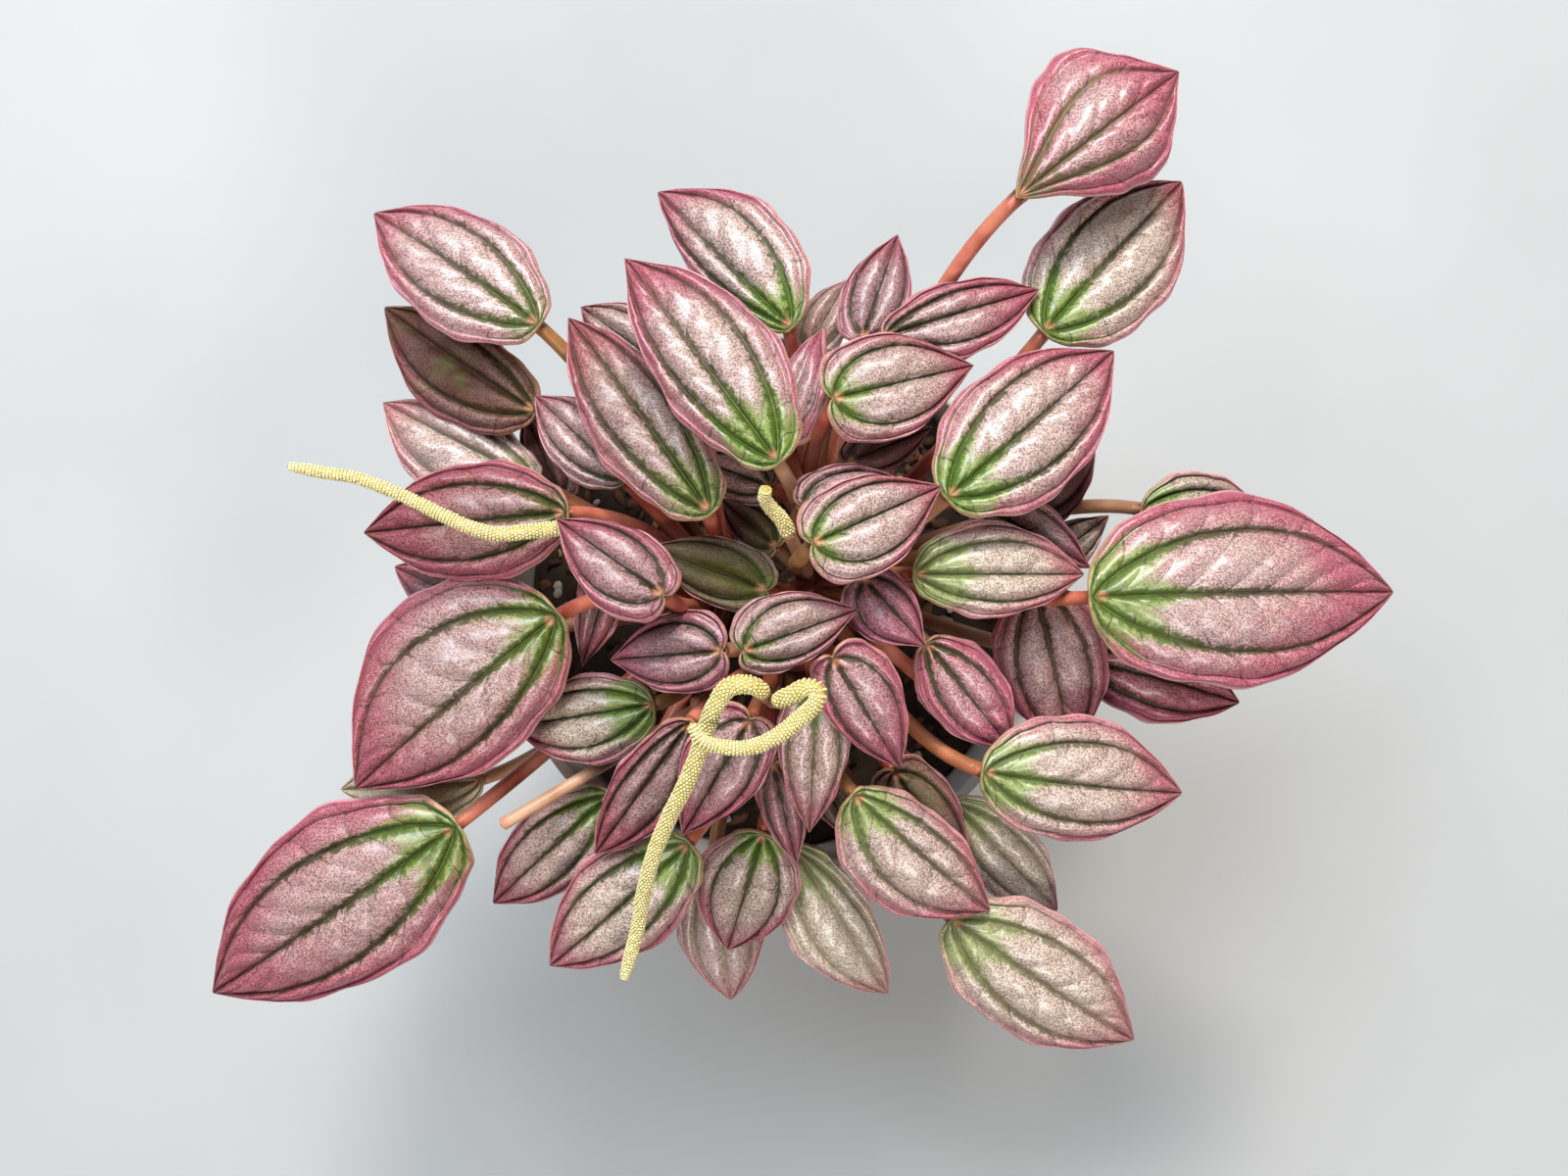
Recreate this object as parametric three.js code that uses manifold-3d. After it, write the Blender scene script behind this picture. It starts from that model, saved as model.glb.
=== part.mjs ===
// A ripple peperomia in its nursery pot.
// Millimetres, +Z up. The origin is the centre of the pot's flat underside.
// Three short crowns stand in the soil. Their petioles arch up and out to pleated, heart-shaped blades,
// and four flower spikes stand over the leaves on peduncles of their own.
import * as THREE from "three";
import { mergeVertices } from "three/addons/utils/BufferGeometryUtils.js";
import Module from "manifold-3d";

const wasm = await Module();
wasm.setup();

// Pot and soil
const POT_HEIGHT = 85;
const POT_MOUTH_RADIUS = 50;
const POT_FOOT_RADIUS = 35;
const POT_WALL = 1.2;
const RIM_BAND = 8;
const RIM_STEP = 1.1;
const DRAIN_HOLES = 6;
const DRAIN_RADIUS = 3.5;
const DRAIN_CIRCLE = 23;
const SOIL_LEVEL = 77;
const SOIL_LUMP = 1.3;

// Clearances
const SEAT_GAP = 0.3; // between pieces that rest on each other
const LEAF_GAP = 0.75; // least air between a blade and one that it lies over

// Crowns: where each short stem stands in the soil, and how high it rises
const STEM_DEPTH = 12;
const STEM_RADIUS = 3.6;
const CROWNS = {
  west: { at: [-8, 2], top: 92 },
  east: { at: [7, 4], top: 93 },
  south: { at: [1, -10], top: 93 },
};

// Radii of petioles and peduncles
const PETIOLE_ROOT = 1.6;
const PETIOLE_END = 1.2;
const PEDUNCLE_RADIUS = 1.1;
// Radii of a spike as shares of its thickest: at its foot, near its tip and at its blunt end
const SPIKE_NECK = 0.8;
const SPIKE_TAPER = 0.74;
const SPIKE_END = 0.38;

// Petioles and peduncles leave their stem up to ROOT_DROP lower than its nearest ones, the lowest for those
// that reach ROOT_REACH out. They rise by LEAVE_UP and run out by LEAVE_OUT of their span before they bend
// over, and are straight for about STRAIGHT_END of it before their end.
const ROOT_TOP = 2; // least depth of a root under the top of its stem
const ROOT_DROP = 8;
const ROOT_REACH = 60;
const LEAVE_UP = 0.28;
const LEAVE_OUT = 0.1;
const STRAIGHT_END = 0.35;
const LEAST_CLIMB = 49; // degrees between a petiole's end and its blade
const MOST_CLIMB = 74;
const STALK_SIDES = 5;
const LONG_PETIOLE = 30; // a petiole that reaches further out is drawn with more steps

// Blades
const BLADE_THICKNESS = 0.9;
const ARCH = 0.08; // how far a blade arches between its petiole and its tip, as a share of its length
const PELTATE = 0.05; // the petiole joins this share of the length inside the margin
// Margin of half a blade, from its back past the widest point to the tip: each point is a distance from
// the petiole, as a share of the length, and an angle from the midrib in degrees.
const MARGINS = {
  old: [[0.12, 120], [0.37, 98], [0.94, 57], [0.8, 21.5]],
  young: [[0.2, 155], [0.55, 115], [0.91, 55], [0.74, 13]],
  cupped: [[0.18, 50], [0.74, 48], [0.95, 42], [0.82, 11]],
};
// The grids of blades wider than least: rows along a blade, lines across half of it and, of those, the ones
// on the midrib, the side veins and the margin. The small blades are drawn with one side vein for the two.
const GRIDS = [
  {
    least: 20,
    rows: [0, 0.13, 0.29, 0.46, 0.63, 0.81, 1],
    half: [0.27, 0.55, 0.7, 0.86, 0.93, 1],
    veins: [0, 0.55, 0.86, 1],
  },
  {
    least: 15.5,
    rows: [0, 0.16, 0.36, 0.57, 0.78, 1],
    half: [0.27, 0.55, 0.7, 0.86, 0.93, 1],
    veins: [0, 0.55, 0.86, 1],
  },
  {
    least: 0,
    rows: [0, 0.18, 0.4, 0.62, 0.82, 1],
    half: [0.27, 0.55, 0.78, 1],
    veins: [0, 0.55, 1],
  },
];

// Every blade, the lowest first: crown, petiole joint, tip, width, the share by which its left half is wider
// and its right half narrower, margin, height of the pleats and curl of the margins as shares of the half
// width, then roll, the turn of the petiole off the blade's axis and its angle to the blade, in degrees. The
// last one is worked out where it is left out.
const LEAVES = [
  ["west", [-52, -31, 102], [-77, -33, 96], 14, 0, "old", 0.05, 0.2, 8],
  ["south", [-10.5, -47, 103], [-7.6, -70.9, 94], 15.5, 0, "old", 0.05, 0.2, -6],
  ["south", [32, -35.5, 103], [50.5, -54.8, 95], 13.5, 0, "old", 0.05, 0.2],
  ["west", [-29, -34, 105], [-50, -53.5, 95], 15.5, 0, "old", 0.06, 0.2, -6],
  ["south", [4, -43, 108], [20.3, -69.4, 96], 15.5, -0.25, "old", 0.05, 0.2, 8],
  ["south", [31.5, -54.7, 110], [64, -77.5, 96], 23, 0, "old", 0.04, 0.25, -5],
  ["west", [-55.2, -38.7, 113], [-99.5, -69, 97], 30.5, -0.05, "old", 0.04, 0.25, 4],
  ["east", [54.5, -10, 102], [83.2, -17.8, 94], 15.5, 0, "old", 0.06, 0.2, 10],
  ["east", [63.8, 16, 110], [86, 13.5, 104], 16, 0, "old", 0.04, 0.2, -8],
  ["west", [-41, 21, 112], [-68, 35, 104], 17, 0.28, "old", 0.05, 0.2],
  ["west", [-41, 33, 113], [-67.4, 51.4, 103], 17, 0.2, "old", 0.05, 0.2, 8],
  ["west", [-25, 21, 118], [-40, 35, 114], 12.5, 0, "old", 0.07, 0.2],
  ["west", [-21, -17, 117], [-45, -21, 109], 15.5, 0.12, "old", 0.06, 0.2],
  ["west", [-37, -2.7, 122], [-71.2, -31.5, 112], 31.5, -0.2, "old", 0.04, 0.25, -4],
  ["west", [-35, 15, 123], [-69, 12, 114], 20, 0, "old", 0.05, 0.25],
  ["east", [0, 10, 114], [-9, 18, 111], 8, 0, "young", 0.08, 0.2],
  ["east", [-2, 2.6, 120], [-21.5, 9.8, 116.6], 11.8, -0.05, "young", 0.06, 0.2],
  ["east", [13, 24, 117], [27, 30, 114], 9, 0, "young", 0.08, 0.2],
  ["west", [-11, 16, 130], [-34.4, 48, 118], 17.5, 0.05, "old", 0.05, 0.25, -5, 0, 90],
  ["east", [2.3, 46.9, 120], [-19.9, 70.7, 109], 17.5, -0.36, "old", 0.05, 0.2, 8, -50],
  ["west", [-39.5, 46.7, 124], [-67.9, 66.3, 113], 20.5, 0, "old", 0.05, 0.2, -6],
  ["east", [15.4, 45.5, 114.5], [21.4, 63.6, 108], 12, 0, "young", 0.07, 0.2],
  ["east", [45.7, 46, 122], [69.6, 71.9, 112], 23.2, 0, "old", 0.04, 0.25, 5],
  ["east", [19, 44, 128], [44, 52, 123], 13, -0.15, "old", 0.06, 0.2],
  ["east", [40, 66, 134], [66.6, 87.3, 126], 25.6, 0.14, "cupped", 0.04, 0.4],
  ["east", [2, 27.5, 125], [8.8, 46.2, 119], 11, 0, "young", 0.08, 0.2, 40],
  ["east", [0, 23.7, 140], [-24, 56, 131], 20, -0.17, "old", 0.05, 0.25],
  ["east", [10.4, 33.2, 134], [32.8, 39, 127], 17.5, 0, "young", 0.06, 0.2, 0, 55],
  ["east", [45, 2, 110], [51.5, -25.5, 106], 20, 0, "old", 0.05, 0.2],
  ["east", [36, 16, 117], [54, 6, 113], 12, 0, "young", 0.06, 0.2],
  ["east", [27, -14, 110], [38, -23, 107], 8, 0, "young", 0.06, 0.2],
  ["east", [25.8, -7, 122], [40.2, -24.4, 115], 14, 0, "old", 0.07, 0.2],
  ["east", [24, 5, 127], [52, 5, 119], 16, 0.1, "old", 0.05, 0.2],
  ["east", [54.1, 1.3, 124], [107, 2, 107], 33, 0.05, "old", 0.04, 0.25, 4, 0, 65],
  ["east", [29, 18, 133], [56.5, 42, 122], 23, 0, "old", 0.05, 0.25],
  ["south", [20.8, -29, 114], [33.8, -48, 108], 13, 0, "young", 0.06, 0.2],
  ["east", [36, -28, 121], [70, -32.3, 110], 21.8, 0.05, "old", 0.05, 0.25, -5],
  ["south", [-2, -39.3, 116], [-8, -60, 105], 18, 0, "old", 0.05, 0.2],
  ["south", [-15, -41, 116], [-39, -63, 104], 19, 0, "old", 0.05, 0.2, 5],
  ["south", [14, -32, 121], [37, -52.3, 109], 18.5, -0.26, "old", 0.05, 0.2, -5],
  ["south", [0, -27, 120], [4, -44, 115], 8, 0, "young", 0.08, 0.2],
  ["south", [-14, -20, 126], [-30, -42, 117], 12.5, 0.15, "old", 0.06, 0.2],
  ["south", [-9, -7.6, 128], [-27, -9.2, 122], 14, -0.05, "young", 0.08, 0.2],
  ["south", [7, -15, 130], [6, -38, 121], 12, 0, "young", 0.07, 0.2],
  ["south", [-4, -19, 133], [-15, -38, 124], 14, 0, "young", 0.07, 0.2],
  ["east", [15, 4, 130], [25, -7, 129], 11.5, -0.2, "young", 0.08, 0.2],
  ["south", [10, -9, 134], [21, -27, 125], 13.5, 0.12, "young", 0.07, 0.2],
  ["east", [5.3, 16, 131], [22, 20.2, 125], 11, 0, "young", 0.08, 0.2, 0, 75],
  ["south", [-4, -7.1, 137], [14, -0.6, 134], 12.5, 0.15, "young", 0.08, 0.2, 0, 90],
  ["west", [-18, 2, 137], [-35, 14, 133], 14, 0.08, "young", 0.08, 0.2, 0, -12],
  ["east", [7, 10, 138], [27, 19, 131], 16, -0.1, "young", 0.07, 0.2, 0, 40],
];

// Flower spikes: the crown that carries each, its radius, the foot and the route of the spike
const SPIKES = [
  [
    "west",
    1.35,
    [[-31.6, 12.5, 127.3], [-34.4, 12.4, 129.9], [-39.6, 11.8, 131.4], [-44.3, 11.4, 132], [-48.9, 12.5, 132],
      [-53.6, 14.6, 132], [-58.2, 16.9, 132], [-63, 19, 132], [-67.7, 20.6, 132], [-72.4, 21.3, 132],
      [-78.3, 22.4, 132]],
  ],
  [
    "south",
    1.6,
    [[-1.6, -13.7, 141], [-1.9, -13.2, 143.4], [-3.2, -12.4, 144.9], [-6.6, -12.6, 144.5],
      [-8.9, -15.7, 143], [-10.5, -19.6, 141], [-11.8, -23.6, 139], [-13.8, -28.4, 137], [-16.3, -33.4, 134],
      [-19.2, -40.2, 130], [-21.2, -47.1, 126], [-22.6, -54.2, 122], [-25.1, -63, 118]],
  ],
  [
    "south",
    1.55,
    [[1, -14.9, 142], [1.5, -14.6, 144.6], [3.3, -13.6, 146.6], [5.2, -12.6, 147.5], [7, -13.2, 148],
      [6.6, -15, 148], [4, -17.6, 147.5], [0.3, -20.4, 147], [-3.5, -21.9, 147], [-7.3, -21.9, 147],
      [-10.7, -20.9, 147.5], [-12.6, -18.1, 148]],
  ],
  [
    "east",
    1.4,
    [[2.6, 11.4, 131], [1.4, 13.7, 133.5], [-0.3, 15.5, 135.5], [-1.3, 17, 137.5], [-1, 18.5, 139.5]],
  ],
];

// Bare stalks that have lost their spikes: crown, bend and end
const OLD_STALKS = [
  ["south", [-28, -27, 113], [-46, -37.5, 113]],
  ["south", [-6, -15, 112], [-13, -16.5, 121]],
];

const UP = new THREE.Vector3(0, 0, 1);

// ---- Solids ----

function closedGeometry(points, triangles) {
  const geometry = new THREE.BufferGeometry();
  geometry.setAttribute("position", new THREE.Float32BufferAttribute(points.flat(), 3));
  geometry.setIndex(triangles.flat());
  return mergeVertices(geometry, 1e-3);
}

function toManifold(geometry) {
  const bare = geometry.clone();
  bare.deleteAttribute("normal");
  bare.deleteAttribute("uv");
  const merged = mergeVertices(bare, 1e-3);
  return new wasm.Manifold(
    new wasm.Mesh({
      numProp: 3,
      vertProperties: merged.attributes.position.array,
      triVerts: new Uint32Array(merged.index.array),
    }),
  );
}

function fromManifold(solid) {
  const mesh = solid.getMesh();
  const geometry = new THREE.BufferGeometry();
  geometry.setAttribute("position", new THREE.Float32BufferAttribute(mesh.vertProperties, 3));
  geometry.setIndex(Array.from(mesh.triVerts));
  return geometry;
}

function pieceMesh(name, geometry, material) {
  const mesh = new THREE.Mesh(geometry.toNonIndexed(), material);
  mesh.geometry.computeVertexNormals();
  mesh.name = name;
  return mesh;
}

// A tube of flat-sided rings along a path. The ring at the end starts from the direction endSide, and
// where endOver is given that ring is cut to the plane of the two.
function tubeGeometry(path, radiusAt, sides, endSide, endOver) {
  const last = path.length - 1;
  const points = [];
  let across = endSide.clone();
  for (let k = last; k >= 0; k--) {
    const ahead = path[Math.min(k + 1, last)].clone().sub(path[Math.max(k - 1, 0)]).normalize();
    across = across.clone().addScaledVector(ahead, -across.dot(ahead)).normalize();
    const cut = k === last && endOver;
    const over = cut ? endOver : ahead.clone().cross(across);
    const radius = radiusAt(k / last);
    const ring = Array.from({ length: sides }, (_, s) => {
      const turn = (2 * Math.PI * s) / sides;
      return path[k]
        .clone()
        .addScaledVector(across, radius * Math.cos(turn))
        .addScaledVector(over, radius * Math.sin(turn))
        .toArray();
    });
    points.unshift(...ring);
  }
  const triangles = [];
  for (let k = 0; k < last; k++) {
    for (let s = 0; s < sides; s++) {
      const a = k * sides + s;
      const b = k * sides + ((s + 1) % sides);
      triangles.push([a, b, b + sides], [a, b + sides, a + sides]);
    }
  }
  const end = last * sides;
  for (let s = 1; s < sides - 1; s++) {
    triangles.push([0, s + 1, s], [end, end + s, end + s + 1]);
  }
  return closedGeometry(points, triangles);
}

// ---- Pot ----

// Radius of the pot's outer wall below the rim band.
function wallRadius(z) {
  const top = POT_MOUTH_RADIUS - RIM_STEP;
  return POT_FOOT_RADIUS + ((top - POT_FOOT_RADIUS) * z) / POT_HEIGHT;
}

function potGeometry() {
  const bandFoot = POT_HEIGHT - RIM_BAND;
  const edge = 0.4; // the small bevels of the foot and the rim
  const rimWidth = 1.9;
  const profile = [
    [0, 0],
    [POT_FOOT_RADIUS - 2 * edge, 0],
    [POT_FOOT_RADIUS, 2 * edge],
    [wallRadius(bandFoot), bandFoot],
    [POT_MOUTH_RADIUS - edge / 2, bandFoot + edge],
    [POT_MOUTH_RADIUS, POT_HEIGHT - edge],
    [POT_MOUTH_RADIUS - edge, POT_HEIGHT],
    [POT_MOUTH_RADIUS + edge - rimWidth, POT_HEIGHT],
    [POT_MOUTH_RADIUS - rimWidth, POT_HEIGHT - edge],
    [wallRadius(bandFoot) - POT_WALL, bandFoot - POT_WALL],
    [wallRadius(POT_WALL) - POT_WALL, POT_WALL],
    [0, POT_WALL],
  ].map(([r, z]) => new THREE.Vector2(r, z));
  let pot = toManifold(new THREE.LatheGeometry(profile, 36).rotateX(Math.PI / 2));
  for (let k = 0; k < DRAIN_HOLES; k++) {
    const turn = (2 * Math.PI * (k + 0.5)) / DRAIN_HOLES;
    const hole = new THREE.CylinderGeometry(DRAIN_RADIUS, DRAIN_RADIUS, 4 * POT_WALL, 10)
      .rotateX(Math.PI / 2)
      .translate(DRAIN_CIRCLE * Math.cos(turn), DRAIN_CIRCLE * Math.sin(turn), POT_WALL / 2);
    pot = pot.subtract(toManifold(hole));
  }
  return fromManifold(pot);
}

// ---- Soil ----

// The potting mix heaps and dips a little, and is lower at the wall.
function soilHeight(x, y) {
  const lumps = Math.sin(0.31 * x + 1.1) * Math.cos(0.27 * y) + 0.6 * Math.sin(0.19 * y - 0.23 * x);
  const edge = (x * x + y * y) / (POT_MOUTH_RADIUS * POT_MOUTH_RADIUS);
  return SOIL_LEVEL + SOIL_LUMP * lumps - 2 * edge;
}

function soilGeometry() {
  const sectors = 28;
  const floor = POT_WALL + SEAT_GAP;
  const inside = POT_WALL + SEAT_GAP + 0.5; // from the pot's outer wall, whose flats cut its corners
  const rim = wallRadius(SOIL_LEVEL - 4) - inside;
  const foot = wallRadius(floor) - inside;
  const rings = [0.25, 0.5, 0.75, 1];
  const points = [[0, 0, soilHeight(0, 0)]];
  const ringAt = (radius, height) => {
    for (let s = 0; s < sectors; s++) {
      const turn = (2 * Math.PI * s) / sectors;
      const x = radius * Math.cos(turn);
      const y = radius * Math.sin(turn);
      points.push([x, y, height ?? soilHeight(x, y)]);
    }
  };
  rings.forEach((share) => ringAt(share * rim));
  ringAt(foot, floor);
  points.push([0, 0, floor]);
  const lowest = 1 + rings.length * sectors;
  const triangles = [];
  for (let s = 0; s < sectors; s++) {
    const next = (s + 1) % sectors;
    triangles.push([0, 1 + s, 1 + next]);
    for (let k = 0; k < rings.length; k++) {
      const a = 1 + k * sectors;
      triangles.push([a + s, a + s + sectors, a + next + sectors], [a + s, a + next + sectors, a + next]);
    }
    triangles.push([points.length - 1, lowest + next, lowest + s]);
  }
  let soil = toManifold(closedGeometry(points, triangles));
  for (const crown of Object.values(CROWNS)) {
    const [x, y] = crown.at;
    const radius = STEM_RADIUS + SEAT_GAP + 0.1;
    const hole = new THREE.CylinderGeometry(radius, radius, 2 * (STEM_DEPTH + SEAT_GAP), 10)
      .rotateX(Math.PI / 2)
      .translate(x, y, SOIL_LEVEL);
    soil = soil.subtract(toManifold(hole));
  }
  return fromManifold(soil);
}

// ---- Blades ----

// Weight of control point k of six at share t of a curve.
function bernstein(k, t) {
  const choose = [1, 5, 10, 10, 5, 1][k];
  return choose * t ** k * (1 - t) ** (5 - k);
}

// A point of the blade laid flat, at share t along the line v: the lines fan out from the petiole and meet
// at the tip, as the veins do. v runs from -1 at the right margin to 1 at the left one.
function flatPoint(margin, t, v) {
  const reach = Math.abs(v);
  let along = -PELTATE * reach * bernstein(0, t) + bernstein(5, t);
  let across = 0;
  margin.forEach(([distance, degrees], i) => {
    const k = i + 1;
    const radius = (1 - reach) * (k / 5) + reach * distance;
    const angle = THREE.MathUtils.degToRad(degrees * v);
    along += bernstein(k, t) * radius * Math.cos(angle);
    across += bernstein(k, t) * radius * Math.sin(angle);
  });
  return [along, across];
}

function halfWidth(margin) {
  let widest = 0;
  for (let t = 0; t <= 1; t += 0.02) {
    widest = Math.max(widest, flatPoint(margin, t, 1)[1]);
  }
  return widest;
}

// The blade is sunk along its veins and rises in a rounded pleat between two of them, the highest beside
// the midrib and the lowest along the margin.
function pleat(v, veins) {
  const reach = Math.abs(v);
  const k = veins.findIndex((vein, i) => i > 0 && reach <= vein);
  const band = veins[k] - veins[k - 1];
  return Math.sqrt(band / veins[1]) * Math.sin((Math.PI * (reach - veins[k - 1])) / band);
}

function bladeSurface([crown, base, tip, width, skew, form, pleats, curl, roll = 0, swing = 0, steep]) {
  const margin = MARGINS[form];
  const start = new THREE.Vector3(...base);
  const axis = new THREE.Vector3(...tip).sub(start);
  const length = axis.length();
  axis.normalize();
  const level = UP.clone().addScaledVector(axis, -UP.dot(axis)).normalize();
  const normal = level.applyAxisAngle(axis, -THREE.MathUtils.degToRad(roll));
  const side = normal.clone().cross(axis);
  const { rows, half, veins } = GRIDS.find(({ least }) => width > least);
  const lines = [...half.map((v) => -v).reverse(), 0, ...half];
  const scale = width / 2 / halfWidth(margin);
  const points = rows.map((t) =>
    lines.map((v) => {
      const [along, across] = flatPoint(margin, t, v);
      const fade = Math.pow(4 * t * (1 - t), 0.6);
      const out = (across * scale) / (width / 2);
      const rise =
        length * ARCH * 4 * Math.abs(along) * (1 - along) +
        (width / 2) * (pleats * fade * pleat(v, veins) - curl * out * out);
      return start
        .clone()
        .addScaledVector(axis, along * length)
        .addScaledVector(side, across * scale * (1 + skew * Math.sign(v)))
        .addScaledVector(normal, rise);
    }),
  );
  return { crown, start, axis, normal, side, swing, steep, points, rows, lines };
}

// Triangles of one face, as [row, line] corners. They mirror each other across the midrib.
function faceCells({ rows, lines }) {
  const cells = [];
  const middle = (lines.length - 1) / 2;
  for (let i = 0; i < rows.length - 1; i++) {
    for (let j = 0; j < lines.length - 1; j++) {
      const [a, b, c, d] = [[i, j], [i + 1, j], [i + 1, j + 1], [i, j + 1]];
      if (i === rows.length - 2) {
        cells.push([a, b, d]);
      } else if (j < middle) {
        cells.push([a, b, d], [b, c, d]);
      } else {
        cells.push([a, b, c], [a, c, d]);
      }
    }
  }
  return cells;
}

function bladeGeometry(blade) {
  const { points, rows, lines, normal } = blade;
  const count = rows.length * lines.length;
  const face = (offset) =>
    points.flat().map((p) => p.clone().addScaledVector(normal, offset).toArray());
  const index = ([i, j]) => i * lines.length + j;
  const triangles = [];
  for (const cell of faceCells(blade)) {
    const [a, b, c] = cell.map(index);
    triangles.push([a, b, c], [a + count, c + count, b + count]);
  }
  for (let i = 0; i < rows.length - 1; i++) {
    const right = index([i, 0]);
    const left = index([i, lines.length - 1]);
    const rightNext = right + lines.length;
    const leftNext = left + lines.length;
    triangles.push([left + count, left, leftNext], [left + count, leftNext, leftNext + count]);
    triangles.push([right, right + count, rightNext], [rightNext, right + count, rightNext + count]);
  }
  const half = BLADE_THICKNESS / 2;
  return closedGeometry([...face(half), ...face(-half)], triangles);
}

// ---- How the blades lie over each other ----

// The blade's middle surface as flat triangles, with the points on it that are tried against another.
function layOut(blade) {
  blade.facets = faceCells(blade).map((cell) => cell.map(([i, j]) => blade.points[i][j]));
  const centres = blade.facets.map(([a, b, c]) => a.clone().add(b).add(c).divideScalar(3));
  blade.samples = [...blade.points.flat(), ...centres];
  blade.box = new THREE.Box3().setFromPoints(blade.samples);
}

// Height of a blade's middle surface over (x, y), or null beside it.
function heightAt(blade, x, y) {
  for (const [a, b, c] of blade.facets) {
    const area = (b.x - a.x) * (c.y - a.y) - (c.x - a.x) * (b.y - a.y);
    if (Math.abs(area) < 1e-9) continue;
    const s = ((x - a.x) * (c.y - a.y) - (c.x - a.x) * (y - a.y)) / area;
    const t = ((b.x - a.x) * (y - a.y) - (x - a.x) * (b.y - a.y)) / area;
    if (s >= 0 && t >= 0 && s + t <= 1) {
      return a.z + s * (b.z - a.z) + t * (c.z - a.z);
    }
  }
  return null;
}

function liftOver(upper, lower) {
  const { min, max } = upper.box;
  const other = lower.box;
  if (min.x > other.max.x || max.x < other.min.x || min.y > other.max.y || max.y < other.min.y) {
    return 0;
  }
  let lift = 0;
  const need = BLADE_THICKNESS + LEAF_GAP;
  for (const p of upper.samples) {
    const z = heightAt(lower, p.x, p.y);
    if (z !== null) lift = Math.max(lift, z + need - p.z);
  }
  for (const p of lower.samples) {
    const z = heightAt(upper, p.x, p.y);
    if (z !== null) lift = Math.max(lift, p.z + need - z);
  }
  return lift;
}

// Each blade is laid on the ones before it and rises until it clears them all.
function settle(blades) {
  blades.forEach((blade, i) => {
    layOut(blade);
    const lift = Math.max(0, ...blades.slice(0, i).map((lower) => liftOver(blade, lower)));
    blade.points.flat().forEach((p) => (p.z += lift));
    blade.start.z += lift;
    layOut(blade);
  });
}

// ---- Petioles ----

// The stalk leaves the crown upwards and bends over to its end, where it points along arrive.
function stalkPath(crown, end, arrive, steps) {
  const [x, y] = CROWNS[crown].at;
  const reach = Math.hypot(end.x - x, end.y - y);
  const drop = ROOT_TOP + ROOT_DROP * Math.min(1, reach / ROOT_REACH);
  const root = new THREE.Vector3(x, y, CROWNS[crown].top - drop);
  const span = end.distanceTo(root);
  const outward = new THREE.Vector3(end.x - x, end.y - y, 0).normalize();
  const leave = root
    .clone()
    .addScaledVector(UP, LEAVE_UP * span)
    .addScaledVector(outward, LEAVE_OUT * span);
  const bend = end.clone().addScaledVector(arrive, -STRAIGHT_END * span);
  return new THREE.CubicBezierCurve3(root, leave, bend, end).getPoints(steps);
}

function petioleGeometry({ crown, start, axis, normal, side, swing, steep }) {
  const [x, y] = CROWNS[crown].at;
  const reach = Math.hypot(start.x - x, start.y - y);
  const climb = THREE.MathUtils.radToDeg(Math.atan2(start.z - CROWNS[crown].top, reach));
  const angle = THREE.MathUtils.degToRad(steep ?? THREE.MathUtils.clamp(climb, LEAST_CLIMB, MOST_CLIMB));
  const turn = THREE.MathUtils.degToRad(swing);
  const run = axis.clone().applyAxisAngle(normal, turn);
  const across = side.clone().applyAxisAngle(normal, turn);
  const end = start.clone().addScaledVector(normal, -(BLADE_THICKNESS / 2 + SEAT_GAP));
  const arrive = run.clone().multiplyScalar(Math.cos(angle)).addScaledVector(normal, Math.sin(angle));
  const path = stalkPath(crown, end, arrive, reach > LONG_PETIOLE ? 6 : 4);
  const radiusAt = (share) => THREE.MathUtils.lerp(PETIOLE_ROOT, PETIOLE_END, share);
  return tubeGeometry(path, radiusAt, STALK_SIDES, across, run.multiplyScalar(-1 / Math.sin(angle)));
}

// A direction square to the given one and level.
function levelSide(direction) {
  return new THREE.Vector3(-direction.y, direction.x, 0).normalize();
}

function spikeRoute([, , points]) {
  return new THREE.CatmullRomCurve3(points.map((p) => new THREE.Vector3(...p)));
}

// The spike has a thinner neck at its foot, is thickest just above it and tapers to a blunt tip.
function spikeGeometry(row) {
  const curve = spikeRoute(row);
  const step = 3.2;
  const sides = 6;
  const path = curve.getSpacedPoints(Math.round(curve.getLength() / step));
  const [, radius] = row;
  const radiusAt = (share) => {
    if (share === 1) return radius * SPIKE_END;
    return radius * Math.min(SPIKE_NECK + 2 * share, THREE.MathUtils.lerp(1, SPIKE_TAPER, share));
  };
  return tubeGeometry(path, radiusAt, sides, levelSide(curve.getTangent(1)));
}

function peduncleGeometry(row) {
  const curve = spikeRoute(row);
  const arrive = curve.getTangent(0);
  const end = curve.getPoint(0).addScaledVector(arrive, -SEAT_GAP);
  const path = stalkPath(row[0], end, arrive, 8);
  return tubeGeometry(path, () => PEDUNCLE_RADIUS, STALK_SIDES, levelSide(arrive));
}

function oldStalkGeometry([crown, bend, end]) {
  const [x, y] = CROWNS[crown].at;
  const root = new THREE.Vector3(x, y, CROWNS[crown].top - ROOT_DROP);
  const curve = new THREE.QuadraticBezierCurve3(root, new THREE.Vector3(...bend), new THREE.Vector3(...end));
  const side = levelSide(curve.getTangent(1));
  return tubeGeometry(curve.getPoints(6), () => PEDUNCLE_RADIUS, STALK_SIDES, side);
}

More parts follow.
